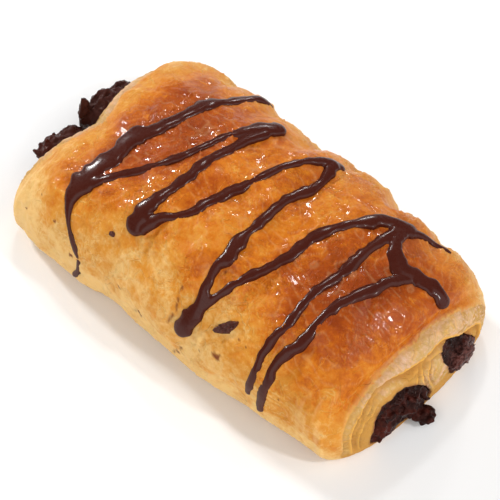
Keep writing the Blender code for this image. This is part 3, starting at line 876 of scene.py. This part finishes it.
def section_reach(name, share, angle):
    """How far a filling's section reaches from its middle at an angle."""
    reaches = []
    for end in ("back", "front"):
        pairs = FILLINGS_MM[name][end][1]
        wrapped = [(a - 360, r) for a, r in pairs[-2:]] + list(pairs)
        wrapped += [(a + 360, r) for a, r in pairs[:2]]
        reaches.append(smooth_curve(wrapped, angle) * MM)
    return reaches[0] + (reaches[1] - reaches[0]) * share


def filling_ring(name, x, grow, sides):
    angle = 360 * np.arange(sides) / sides
    reach = section_reach(name, length_share(x), angle) + grow
    middle_y, middle_z = section_middle(name, length_share(x))
    turn = np.radians(angle)
    across, up = reach * np.cos(turn), reach * np.sin(turn)
    return np.stack((np.full(sides, x), middle_y + across, middle_z + up), axis=-1)


def make_channel(name):
    """The cutter for the dough round a filling, with slightly ragged walls."""
    steps = np.concatenate((np.linspace(-0.085, -0.060, 9), np.linspace(0.060, 0.085, 9)))
    rows = np.stack([filling_ring(name, x, FILLING_GAP, 90) for x in steps])
    middle = rows.mean(axis=1, keepdims=True)
    ragged = 0.0009 * noise_at(rows, 0.0035, 161.0)
    rows = rows + unit(rows - middle) * ragged[..., None]
    return wrap_grid("channel", rows)


def filling_end(name, outwards, settings):
    """One end of a filling: the rod's end under lumps and crumbs, melted into one body."""
    draw = random.Random(f"{name} {outwards}")
    tip = FILLING_TIPS[outwards]
    xs = np.linspace(outwards * ROD_END_FROM, tip, 14)
    rows = np.stack([filling_ring(name, x, 0.0003, ROD_SIDES) for x in xs])
    sunk = np.clip((np.abs(rows[..., 0]) - LEAN_FROM) / LEAN_OVER, 0, 1)
    rows[..., 0] -= outwards * sunk * (FACE_LEAN * rows[..., 2] + FACE_BEND * rows[..., 1] ** 2)
    lean_back = np.clip(np.sin(2 * math.pi * np.arange(rows.shape[1]) / rows.shape[1]), 0, 1)
    rows[..., 0] -= outwards * sunk * (0.0003 + 0.6 * CHUNK_RECESS * lean_back)
    pieces = [wrap_grid("rod_end", rows)]
    for owner, centre, sizes in CRUMBS_MM:
        if owner == name and centre[0] * outwards > 0:
            at = np.array(centre) * MM
            pieces.append(add_lump("crumb", at, np.array(sizes) * MM, 3, 0.5, 1.9))
    share = length_share(tip)
    middle_y, middle_z = section_middle(name, share)
    bigger = 1.0 if outwards > 0 else settings.back_chunks
    for _ in range(round(settings.chunks / bigger)):
        turn = draw.uniform(0, 360)
        out = CHUNK_REACH * math.sqrt(draw.random())
        reach = float(section_reach(name, share, turn)) * out
        cos_t, sin_t = math.cos(math.radians(turn)), math.sin(math.radians(turn))
        y = middle_y + reach * cos_t
        z = middle_z + reach * sin_t
        behind = draw.uniform(0.0004, 0.0018) + CHUNK_RECESS * out * max(sin_t, 0)
        x = tip - outwards * (FACE_LEAN * z + FACE_BEND * y * y + behind)
        size = [draw.uniform(0.6, 1.5) * bigger * settings.chunk_size for _ in range(3)]
        at = np.array((x, y, max(z, 0.002)))
        pieces.append(add_lump("chunk", at, np.array(size), 2, 0.9, 1.3))
    end = join("filling_end", pieces)
    apply_modifier(end, "REMESH", mode="VOXEL", voxel_size=settings.voxel)
    points = points_of(end)
    normals = np.empty(len(points) * 3, np.float32)
    end.data.vertices.foreach_get("normal", normals)
    rough = noise_at(points, 0.0017, 171.0) * 1.2 + noise_at(points, 0.0008, 181.0) * 0.45
    outside = ease(np.abs(points[:, 0]), *CRUMBLY_FROM)
    points += normals.reshape(-1, 3) * (rough * outside * settings.roughness)[:, None]
    points[:, 2] = np.maximum(points[:, 2], CRUMB_FLOOR)
    set_points(end, points)
    return end


def make_filling(name, settings):
    """A filling from end to end of the roll: a plain rod inside, crumbly ends outside."""
    xs = np.linspace(-ROD_HALF, ROD_HALF, 7)
    rod = wrap_grid("rod", np.stack([filling_ring(name, x, 0.0, ROD_SIDES) for x in xs]))
    ends = [filling_end(name, outwards, settings) for outwards in (-1, 1)]
    for end in ends:
        apply_modifier(rod, "BOOLEAN", operation="UNION", object=end, solver="MANIFOLD")
        bpy.data.objects.remove(end)
    rod.name = name + "_crumbly"
    return rod


# The drizzle


def make_stroke(name, waypoints, settings):
    """A stroke of chocolate that follows the crust, with a domed section and round ends."""
    corners = np.array(waypoints, float) + STROKE_SHIFT
    half = CRUST_LENGTH / 2 / MM
    on_crust = crust_point(corners[:, 0] / half, corners[:, 1])
    steps = np.linalg.norm(np.diff(on_crust, axis=0), axis=1)
    lengths = np.concatenate(([0.0], np.cumsum(steps)))
    at = np.linspace(0, lengths[-1], max(6, round(lengths[-1] / settings.step)))
    pairs = (np.stack((lengths, corners[:, k]), axis=-1) for k in range(3))
    x_mm, angle, width = (smooth_curve(pair, at) for pair in pairs)
    points = crust_point(x_mm / half, angle)
    ups = roll_normal(x_mm / half, angle)
    ahead = unit(np.gradient(points, axis=0))
    across = unit(np.cross(ups, ahead))
    width = settings.flow * width * MM * (1 + settings.unevenness * noise_at(points, 0.0055, 191.0))
    points = points + across * (settings.wander * noise_at(points, 0.0060, 196.0))[:, None]
    first, last = width[0] * 0.5, width[-1] * 0.5
    turns = np.linspace(0, math.pi, 11)
    frill = [settings.frill * noise_at(points, 0.0026, shift) for shift in (201.0, 211.0)]
    rows = [
        stroke_ring(point, across[k], ups[k], width[k], turns, settings, (frill[0][k], frill[1][k]))
        for k, point in enumerate(points)
    ]
    for tip, index, sign in ((first, 0, -1), (last, -1, 1)):
        caps = []
        for share in (0.35, 0.65, 0.88, 0.98):
            point = points[index] + ahead[index] * sign * tip * share
            narrow = width[index] * math.sqrt(1 - share**2)
            ring = stroke_ring(point, across[index], ups[index], narrow, turns, settings)
            caps.append(ring)
        rows = caps[::-1] + rows if index == 0 else rows + caps
    return wrap_grid(name, np.stack(rows))


def stroke_ring(point, across, up, width, turns, settings, frill=(0.0, 0.0)):
    """Section of a stroke: a dome that bulges over its own foot, and a flat part in the crust."""
    height = settings.thickness * math.tanh(settings.height * width / settings.thickness)
    flatness = 1 / (1 + settings.height * width / settings.thickness)
    side = np.cos(turns) * 0.5
    side = side + np.where(side > 0, frill[0], -frill[1]) * np.abs(side) * 2
    rise = np.sin(turns) ** (0.3 + 0.8 * flatness)
    dome = point + width * side[:, None] * across + height * rise[:, None] * up
    foot = np.array((-0.44, -0.2, 0.2, 0.44))
    base = point + width * foot[:, None] * across - settings.sink * up
    return np.concatenate((dome, base))


def make_drizzle(settings):
    strokes = [make_stroke(f"stroke_{k}", stroke, settings) for k, stroke in enumerate(STROKES)]
    drizzle = join("drizzle", strokes)
    apply_modifier(drizzle, "REMESH", mode="VOXEL", voxel_size=settings.voxel)
    apply_modifier(drizzle, "SMOOTH", factor=0.5, iterations=settings.smoothing)
    return drizzle


def make_bits(settings):
    """Loose bits of chocolate on the crust, each a roughened slab over its outline."""
    bits = []
    for k, (x_mm, angle, outline, height) in enumerate(BITS):
        along = x_mm * MM / (CRUST_LENGTH / 2)
        up = roll_normal(along, angle)
        centre = crust_point(along, angle)
        ahead = unit(np.cross(np.cross(up, (1.0, 0.0, 0.0)), up))
        across = np.cross(up, ahead)
        corners = np.array(outline + outline[:1]) * MM
        turn = np.linspace(0, len(outline), 49)[:-1]
        counts = range(len(outline) + 1)
        edge = np.stack([np.interp(turn, counts, corners[:, n]) for n in (0, 1)], axis=-1)
        rows = []
        for grow, rise in BIT_SECTIONS:
            ring = edge * grow
            level = centre + up * rise * height * MM
            rows.append(level + ring[:, :1] * ahead + ring[:, 1:] * across)
        bit = wrap_grid(f"bit_{k}", np.stack(rows))
        apply_modifier(bit, "REMESH", mode="VOXEL", voxel_size=settings.voxel * 0.6)
        points = points_of(bit)
        rough = noise_at(points, 0.0011, 221.0) * 0.0009 + noise_at(points, 0.0004, 231.0) * 0.0003
        set_points(bit, points + up * rough[:, None])
        bits.append(bit)
    return join("chocolate_bits", bits)


# Finishes


def node(tree, kind, inputs=None, **settings):
    """Adds a node, sets it up and gives each input a value or a link."""
    made = tree.nodes.new(kind)
    for name, value in settings.items():
        setattr(made, name, value)
    for key, value in (inputs or {}).items():
        if isinstance(value, bpy.types.NodeSocket):
            tree.links.new(value, made.inputs[key])
        else:
            made.inputs[key].default_value = value
    return made


def new_material(name):
    material = bpy.data.materials.new(name)
    material.use_nodes = True
    tree = material.node_tree
    return material, tree, tree.nodes["Principled BSDF"]


def value_of(tree, name):
    return node(tree, "ShaderNodeAttribute", attribute_name=name).outputs["Fac"]


def noise_of(tree, place, scale, detail=3.0, roughness=0.5, distortion=0.0):
    inputs = {
        "Vector": place, "Scale": scale, "Detail": detail, "Roughness": roughness,
        "Distortion": distortion,
    }
    return node(tree, "ShaderNodeTexNoise", inputs).outputs["Fac"]


def maths(tree, operation, first, second=0.0, clamp=False):
    inputs = {0: first, 1: second}
    made = node(tree, "ShaderNodeMath", inputs, operation=operation, use_clamp=clamp)
    return made.outputs[0]


def spread(tree, value, low, high, to_low=0.0, to_high=1.0, way="LINEAR"):
    inputs = {
        "Value": value, "From Min": low, "From Max": high, "To Min": to_low, "To Max": to_high,
    }
    return node(tree, "ShaderNodeMapRange", inputs, interpolation_type=way).outputs["Result"]


def mix(tree, share, first, second, blend="MIX"):
    inputs = {0: share, 6: first, 7: second}
    made = node(tree, "ShaderNodeMix", inputs, data_type="RGBA", blend_type=blend)
    return made.outputs[2]


def times(tree, *factors):
    """The product of two or more values."""
    product = factors[0]
    for factor in factors[1:]:
        product = maths(tree, "MULTIPLY", product, factor)
    return product


def ramp(tree, value, stops):
    """A colour ramp over pairs of place and colour."""
    made = node(tree, "ShaderNodeValToRGB", {0: value})
    elements = made.color_ramp.elements
    while len(elements) < len(stops):
        elements.new(0.5)
    for element, (place, colour) in zip(elements, stops):
        element.position = place
        element.color = tuple(colour)[:3] + (1.0,)
    return made.outputs["Color"]


def bump(tree, heights, normal=None):
    """Stacks bumps: each is a height socket and its depth in metres."""
    for height, depth in heights:
        inputs = {"Height": height, "Distance": depth, "Strength": 1.0}
        if normal is not None:
            inputs["Normal"] = normal
        normal = node(tree, "ShaderNodeBump", inputs).outputs["Normal"]
    return normal


def crease_lines(tree, place):
    """Winding, broken creases in the glaze, some wide apart and some close together."""
    nets = []
    # the lines' scale and width, and the patches that they show in: scale, lowest and highest level
    for scale, width, patch_scale, low, high in (
        (190.0, 0.034, 120.0, 0.44, 0.60),
        (480.0, 0.080, 90.0, 0.48, 0.64),
    ):
        level = noise_of(tree, place, scale, 1.6, 0.5, 0.9)
        away = maths(tree, "ABSOLUTE", maths(tree, "SUBTRACT", level, 0.5))
        line = spread(tree, away, 0.0, width, 1.0, 0.0, "SMOOTHSTEP")
        patch = spread(tree, noise_of(tree, place, patch_scale, 2.0), low, high)
        nets.append(times(tree, line, patch))
    return maths(tree, "MAXIMUM", nets[0], times(tree, nets[1], 0.7))


def crust_material(settings):
    """Glazed, unevenly browned crust and the pale dough that shows at its ends."""
    material, tree, shader = new_material("baked_dough")
    place = node(tree, "ShaderNodeTexCoord").outputs["Object"]
    mottle = noise_of(tree, place, 420.0, 4.0, 0.6)
    clouds = noise_of(tree, place, 130.0, 3.0, 0.55, 0.6)
    freckles = noise_of(tree, place, 950.0, 3.0, 0.6)
    brown = value_of(tree, "browning")
    for source, amount in ((mottle, 0.09), (freckles, 0.06), (clouds, 0.06)):
        brown = maths(tree, "ADD", brown, spread(tree, source, 0.3, 0.7, -amount, amount))
    lines = crease_lines(tree, place)
    for source, amount in ((value_of(tree, "ridge"), 0.08), (lines, 0.15)):
        brown = maths(tree, "SUBTRACT", brown, times(tree, source, amount))
    baked = ramp(
        tree, brown,
        (
            (0.00, settings.pale), (0.27, settings.golden), (0.50, settings.amber),
            (0.73, settings.brown), (1.00, settings.dark),
        ),
    )
    lip = value_of(tree, "lip")
    baked = mix(tree, times(tree, lip, 0.45), baked, settings.flake_edge)
    # painted sheen: towards the far side the crust is tinted pinker and paler, where the glaze
    # would catch glancing light
    far_side = node(tree, "ShaderNodeSeparateXYZ", {0: place}).outputs["Y"]
    baked = mix(tree, spread(tree, far_side, 0.018, 0.034, 0.0, 0.25), baked, settings.painted_far_sheen)
    baked = mix(tree, value_of(tree, "mark"), baked, settings.mark)

    crumbly = noise_of(tree, place, 1050.0, 2.0, 0.6)
    grain = spread(tree, noise_of(tree, place, 330.0, 3.0, 0.6, 0.4), 0.28, 0.72, -0.16, 0.16)
    tone = value_of(tree, "tone")
    layers = ramp(
        tree, maths(tree, "ADD", tone, grain),
        (
            (0.05, settings.dough), (0.42, settings.dough_light), (0.72, settings.dough_pink),
            (1.0, settings.dough_shade),
        ),
    )
    grains = times(tree, spread(tree, crumbly, 0.50, 0.66, 0.0, 0.60), tone)
    layers = mix(tree, grains, layers, settings.dough_grain)
    shade = times(tree, spread(tree, crumbly, 0.48, 0.34, 0.0, 0.45), tone)
    layers = mix(tree, shade, layers, settings.dough_shade)
    layers = mix(tree, times(tree, lip, 0.90), layers, settings.layer_edge)
    # painted shade: creases behind layer edges and between chunks are darkened where shade would
    # fall
    crease = times(tree, value_of(tree, "crease"), 0.80)
    layers = mix(tree, crease, layers, settings.crease_shade)
    layers = mix(tree, spread(tree, value_of(tree, "stain"), 0.12, 0.75), layers, settings.stain)
    dough = value_of(tree, "dough")
    tree.links.new(mix(tree, dough, baked, layers), shader.inputs["Base Color"])

    glaze = value_of(tree, "glaze")
    patchy = maths(tree, "ADD", glaze, spread(tree, clouds, 0.3, 0.7, -0.2, 0.25), clamp=True)
    shine = spread(tree, patchy, 0.0, 1.0, 0.50, 0.34)
    matt = mix(tree, dough, shine, (0.62, 0.62, 0.62, 1.0))
    tree.links.new(matt, shader.inputs["Roughness"])
    crusty = maths(tree, "SUBTRACT", 1.0, dough)
    coat = spread(tree, patchy, 0.1, 1.0, 0.04, settings.glaze)
    coat = maths(tree, "MULTIPLY", coat, crusty, clamp=True)
    tree.links.new(coat, shader.inputs["Coat Weight"])
    shader.inputs["Coat Roughness"].default_value = 0.09
    shader.inputs["Specular IOR Level"].default_value = 0.08
    shader.inputs["Subsurface Weight"].default_value = 0.12
    shader.inputs["Subsurface Radius"].default_value = (1.0, 0.45, 0.2)
    shader.inputs["Subsurface Scale"].default_value = 0.0018

    crinkles = noise_of(tree, place, 520.0, 2.0, 0.5, 0.5)
    film = times(tree, noise_of(tree, place, 1250.0, 2.0, 0.5), patchy)
    normal = bump(tree, ((crinkles, 0.00028), (lines, 0.00018), (film, 0.00030)))
    tree.links.new(normal, shader.inputs["Normal"])
    return material


def chocolate_material(name, settings, dull):
    """Set chocolate: glossy where it is thick, duller where it dried thin low on the sides."""
    material, tree, shader = new_material(name)
    place = node(tree, "ShaderNodeTexCoord").outputs["Object"]
    height = node(tree, "ShaderNodeSeparateXYZ", {0: place}).outputs["Z"]
    patches = noise_of(tree, place, 160.0, 3.0, 0.6)
    if dull:
        dry = spread(tree, patches, 0.2, 0.6, 0.7, 1.0)
    else:
        low = maths(tree, "ADD", height, spread(tree, patches, 0.3, 0.7, -0.004, 0.004))
        dry = spread(tree, low, 0.016, 0.028, 1.0, 0.0)
    grain = noise_of(tree, place, 900.0, 3.0, 0.6)
    swirls = spread(tree, patches, 0.3, 0.7, 0.0, 0.5)
    colour = mix(tree, swirls, settings.colour, settings.colour_light)
    colour = mix(tree, times(tree, dry, 0.6), colour, settings.colour_dry)
    tree.links.new(colour, shader.inputs["Base Color"])
    duller = spread(tree, dry, 0.0, 1.0, 0.27, 0.48)
    rough = maths(tree, "ADD", duller, spread(tree, grain, 0.3, 0.7, -0.03, 0.05))
    tree.links.new(rough, shader.inputs["Roughness"])
    shader.inputs["Specular IOR Level"].default_value = 0.07
    shader.inputs["Coat Weight"].default_value = 0.26
    shader.inputs["Coat Roughness"].default_value = 0.17
    tree.links.new(bump(tree, ((grain, 0.00004), (patches, 0.0002))), shader.inputs["Normal"])
    return material


def filling_material(settings):
    """Baked chocolate filling: near black, wet in places and crumbly."""
    material, tree, shader = new_material("chocolate_filling")
    place = node(tree, "ShaderNodeTexCoord").outputs["Object"]
    patches = noise_of(tree, place, 210.0, 3.0, 0.6, 0.5)
    grain = noise_of(tree, place, 1100.0, 4.0, 0.65)
    colour = mix(tree, spread(tree, patches, 0.45, 0.68), settings.colour, settings.colour_red)
    colour = mix(tree, spread(tree, grain, 0.55, 0.75, 0.0, 0.35), colour, settings.colour_grey)
    x, y, z = node(tree, "ShaderNodeSeparateXYZ", {0: place}).outputs
    colour = mix(tree, spread(tree, x, -0.060, -0.066, 0.0, 0.8), colour, settings.colour_back)
    far_pocket = spread(tree, y, 0.010, 0.014)
    speckle = times(tree, spread(tree, grain, 0.42, 0.58), far_pocket)
    speckle = times(tree, speckle, spread(tree, z, 0.014, 0.010))
    colour = mix(tree, speckle, colour, settings.colour_grey)
    # painted shade: the top of the far pocket's filling, which lies back under the dough, is
    # darkened
    deep = times(tree, far_pocket, spread(tree, z, 0.013, 0.018), spread(tree, x, 0.0, 0.010))
    colour = mix(tree, deep, colour, settings.painted_pocket_shade)
    jammy = times(tree, spread(tree, y, -0.010, -0.015), spread(tree, patches, 0.40, 0.60))
    colour = mix(tree, jammy, colour, settings.colour_red)
    tree.links.new(colour, shader.inputs["Base Color"])
    wet = noise_of(tree, place, 260.0, 2.0, 0.5)
    tree.links.new(spread(tree, wet, 0.42, 0.52, 0.50, 0.22), shader.inputs["Roughness"])
    shader.inputs["Specular IOR Level"].default_value = 0.10
    shader.inputs["Specular Tint"].default_value = (1.0, 0.70, 0.62, 1.0)
    tree.links.new(bump(tree, ((grain, 0.00010), (patches, 0.0003))), shader.inputs["Normal"])
    return material


def floor_material(colour):
    """Pale table top with a faint unevenness."""
    material, tree, shader = new_material("pale_floor")
    place = node(tree, "ShaderNodeTexCoord").outputs["Object"]
    cloud = noise_of(tree, place, 3.0, 2.0, 0.5)
    darker = tuple(0.985 * c for c in colour[:3]) + (1.0,)
    tree.links.new(mix(tree, cloud, darker, tuple(colour)), shader.inputs["Base Color"])
    tree.links.new(spread(tree, cloud, 0.3, 0.7, 0.72, 0.8), shader.inputs["Roughness"])
    shader.inputs["Specular IOR Level"].default_value = 0.2
    return material


# Settings, operators and panel


def colour_setting(name, description, default):
    return FloatVectorProperty(
        name=name, description=description, default=default + (1.0,), size=4, subtype="COLOR",
        min=0.0, max=1.0,
    )


def length_setting(name, description, default):
    return FloatProperty(
        name=name, description=description, default=default, min=0.0, unit="LENGTH", precision=5
    )


class CrustSettings(PropertyGroup):
    point_spacing: length_setting("Point spacing", "Distance between the crust's points", 0.00052)
    wrinkle_size: length_setting("Wrinkle size", "Size of the film's creases", 0.0040)
    wrinkle_height: length_setting("Wrinkle height", "Height of the film's creases", 0.00058)
    flake_height: length_setting("Flake height", "Thickness of a flake's edge", 0.00032)
    front_rings: IntProperty(
        name="Front rings", description="Rings of the front face", default=66, min=8
    )
    back_rings: IntProperty(
        name="Back rings", description="Rings of the back face", default=24, min=8
    )
    glaze: FloatProperty(
        name="Glaze", description="Strength of the egg glaze", default=0.38, min=0, max=1
    )
    pale: colour_setting("Pale", "Crust that hardly browned", (0.79, 0.49, 0.175))
    golden: colour_setting("Golden", "Lightly baked crust", (0.65, 0.270, 0.036))
    amber: colour_setting("Amber", "Well baked crust", (0.57, 0.160, 0.009))
    brown: colour_setting("Brown", "Deeply baked crust", (0.39, 0.074, 0.0045))
    # painted sheen: the pinker, paler far side stands in for glancing light on the glaze
    painted_far_sheen: colour_setting("Painted sheen", "Dull, pinker crust on the far side", (0.56, 0.285, 0.125))
    dark: colour_setting("Dark", "The darkest crust", (0.26, 0.040, 0.0030))
    mark: colour_setting("Mark", "Burned specks and cracks", (0.20, 0.05, 0.015))
    flake_edge: colour_setting("Flake edge", "The thin edge of a flake", (0.84, 0.58, 0.27))
    dough: colour_setting("Dough", "Smooth golden layers at the ends", (0.53, 0.262, 0.055))
    dough_light: colour_setting("Light dough", "Flaky layers", (0.55, 0.34, 0.118))
    dough_shade: colour_setting("Dough shade", "Darker flakes in them", (0.50, 0.280, 0.082))
    dough_pink: colour_setting("Dough bloom", "Pinkish flakes in them", (0.64, 0.395, 0.24))
    dough_grain: colour_setting("Dough grain", "Pale pink grains on them", (0.80, 0.55, 0.43))
    layer_edge: colour_setting("Layer edge", "The baked edge of a layer", (0.80, 0.42, 0.085))
    # painted shade for the creases between layers
    crease_shade: colour_setting("Layer crease", "Deep between two layers", (0.42, 0.19, 0.042))
    stain: colour_setting("Stain", "Dough that soaked up filling", (0.13, 0.035, 0.028))


class FillingSettings(PropertyGroup):
    voxel: length_setting("Grain", "Finest detail of the crumbs", 0.00036)
    chunk_size: length_setting("Chunk size", "Half size of a chunk", 0.0015)
    chunks: IntProperty(name="Chunks", description="Chunks on the front end", default=60, min=0)
    back_chunks: FloatProperty(
        name="Back chunks", description="How much bigger the back end's chunks are", default=1.7,
        min=1.0,
    )
    roughness: length_setting("Roughness", "Height of the crumbly surface", 0.0004)
    colour: colour_setting("Colour", "Baked chocolate", (0.013, 0.0028, 0.0022))
    # painted shade for the recessed top of the far pocket
    painted_pocket_shade: colour_setting("Deep", "Top of the far pocket", (0.008, 0.002, 0.0015))
    colour_red: colour_setting("Red", "Where it is thin and jammy", (0.058, 0.010, 0.006))
    colour_grey: colour_setting("Grey", "Dry crumbs", (0.12, 0.045, 0.038))
    colour_back: colour_setting("Back", "The drier back end", (0.060, 0.020, 0.016))


class DrizzleSettings(PropertyGroup):
    step: length_setting("Step", "Distance between a stroke's sections", 0.0008)
    height: FloatProperty(
        name="Height", description="Height as a share of a stroke's width", default=0.36, min=0.1
    )
    sink: length_setting("Sink", "How deep a stroke reaches into the crust", 0.0014)
    flow: FloatProperty(
        name="Flow", description="Width of a stroke as a share of its line's", default=0.95, min=0.1
    )
    thickness: length_setting("Thickness", "Most that a stroke stands up", 0.0020)
    wander: length_setting("Wander", "How far a stroke strays from its line", 0.0004)
    frill: FloatProperty(
        name="Frill", description="How wavy each side of a stroke is", default=0.24, min=0
    )
    unevenness: FloatProperty(
        name="Unevenness", description="How much a stroke's width varies", default=0.28, min=0
    )
    voxel: length_setting("Grain", "Finest detail of the drizzle", 0.00034)
    smoothing: IntProperty(name="Smoothing", description="Passes of smoothing", default=3, min=0)
    colour: colour_setting("Colour", "Dark chocolate", (0.052, 0.0082, 0.0042))
    colour_light: colour_setting("Light", "Paler swirls in it", (0.066, 0.0125, 0.0068))
    colour_dry: colour_setting("Dry", "Where it dried thin", (0.085, 0.028, 0.020))


class StageSettings(PropertyGroup):
    azimuth: FloatProperty(
        name="Azimuth", description="Camera, round the roll", default=math.radians(43.65),
        unit="ROTATION",
    )
    elevation: FloatProperty(
        name="Elevation", description="Camera, above the floor", default=math.radians(51.7),
        unit="ROTATION",
    )
    distance: length_setting("Distance", "Camera to the roll", 0.7)
    target: FloatVectorProperty(
        name="Target", description="Where the camera looks", default=(0.0024, -0.0009, 0.015),
        unit="LENGTH",
    )
    lens: FloatProperty(
        name="Lens", description="Focal length", default=168.34, min=1, unit="CAMERA"
    )
    floor: colour_setting("Floor", "Pale floor", (0.93, 0.93, 0.93))
    ambient: FloatProperty(name="Ambient", description="Light from all round", default=0.20, min=0)


class PASTRY_OT_crust(Operator):
    """Bakes the roll: crust, dough layers and the channels for the fillings"""

    bl_idname = "pastry.crust"
    bl_label = "Bake the crust"
    bl_options = {"REGISTER", "UNDO"}

    def execute(self, context):
        settings = context.scene.pastry_crust
        crust = make_crust(settings)
        finish_piece(crust, crust_material(settings), "crust", "pastry")
        return {"FINISHED"}


class PASTRY_OT_fillings(Operator):
    """Lays both chocolate fillings through the roll"""

    bl_idname = "pastry.fillings"
    bl_label = "Lay the fillings"
    bl_options = {"REGISTER", "UNDO"}

    def execute(self, context):
        settings = context.scene.pastry_filling
        material = filling_material(settings)
        for name in FILLINGS_MM:
            finish_piece(make_filling(name, settings), material, "filling", name)
        return {"FINISHED"}


class PASTRY_OT_drizzle(Operator):
    """Drizzles dark chocolate over the crust and drops two loose bits on it"""

    bl_idname = "pastry.drizzle"
    bl_label = "Drizzle the chocolate"
    bl_options = {"REGISTER", "UNDO"}

    def execute(self, context):
        settings = context.scene.pastry_drizzle
        glossy = chocolate_material("dark_chocolate", settings, dull=False)
        finish_piece(make_drizzle(settings), glossy, "filling", "pastry")
        dry = chocolate_material("dry_chocolate", settings, dull=True)
        finish_piece(make_bits(settings), dry, "filling", "pastry")
        return {"FINISHED"}


class PASTRY_OT_stage(Operator):
    """Sets up the pale floor, the soft lights and the camera"""

    bl_idname = "pastry.stage"
    bl_label = "Set the stage"
    bl_options = {"REGISTER", "UNDO"}

    def execute(self, context):
        settings = context.scene.pastry_stage
        bpy.ops.object.select_all(action="DESELECT")
        bpy.ops.mesh.primitive_plane_add(size=4.0)
        floor = context.object
        floor.name = "floor"
        floor.data.materials.append(floor_material(settings.floor))
        for name, place, size, power in LIGHTS:
            add_light(name, place, size, power)
        world = bpy.data.worlds.new("soft_room")
        context.scene.world = world
        world.use_nodes = True
        background = world.node_tree.nodes["Background"]
        background.inputs["Color"].default_value = (1.0, 0.99, 0.97, 1.0)
        background.inputs["Strength"].default_value = settings.ambient
        add_camera(context.scene, settings)
        context.scene.view_settings.view_transform = "Standard"
        return {"FINISHED"}


def add_light(name, place, size, power):
    """A square soft light that faces the roll."""
    bpy.ops.object.light_add(type="AREA", location=place)
    lamp = bpy.context.object
    lamp.name = name
    lamp.rotation_euler = Vector(place).to_track_quat("Z", "Y").to_euler()
    lamp.data.size = size
    lamp.data.energy = power


def add_camera(scene, settings):
    """The camera at the angle of the photograph."""
    flat = math.cos(settings.elevation)
    back = Vector(
        (
            math.sin(settings.azimuth) * flat,
            -math.cos(settings.azimuth) * flat,
            math.sin(settings.elevation),
        )
    )
    place = Vector(settings.target) + back * settings.distance
    bpy.ops.object.camera_add(location=place, rotation=back.to_track_quat("Z", "Y").to_euler())
    camera = bpy.context.object
    camera.data.sensor_width = 36.0
    camera.data.lens = settings.lens
    camera.data.clip_start = 0.01
    scene.camera = camera


class PASTRY_PT_panel(Panel):
    """Lists the settings and the steps in order"""

    bl_idname = "PASTRY_PT_panel"
    bl_label = "Pain au Chocolat"
    bl_space_type = "VIEW_3D"
    bl_region_type = "UI"
    bl_category = "Pastry"

    def draw(self, context):
        layout = self.layout
        for group, operator in STEPS:
            box = layout.box()
            settings = getattr(context.scene, group)
            for name in settings.__annotations__:
                box.prop(settings, name)
            box.operator(operator)


GROUPS = {
    "pastry_crust": CrustSettings,
    "pastry_filling": FillingSettings,
    "pastry_drizzle": DrizzleSettings,
    "pastry_stage": StageSettings,
}
STEPS = (
    ("pastry_crust", "pastry.crust"),
    ("pastry_filling", "pastry.fillings"),
    ("pastry_drizzle", "pastry.drizzle"),
    ("pastry_stage", "pastry.stage"),
)
CLASSES = (
    *GROUPS.values(),
    PASTRY_OT_crust,
    PASTRY_OT_fillings,
    PASTRY_OT_drizzle,
    PASTRY_OT_stage,
    PASTRY_PT_panel,
)


def register():
    for kind in CLASSES:
        bpy.utils.register_class(kind)
    for name, group in GROUPS.items():
        setattr(bpy.types.Scene, name, PointerProperty(type=group))


def unregister():
    for name in GROUPS:
        delattr(bpy.types.Scene, name)
    for kind in reversed(CLASSES):
        bpy.utils.unregister_class(kind)


def main():
    register()
    bpy.ops.pastry.crust()
    bpy.ops.pastry.fillings()
    bpy.ops.pastry.drizzle()
    bpy.ops.pastry.stage()


if __name__ == "__main__":
    main()
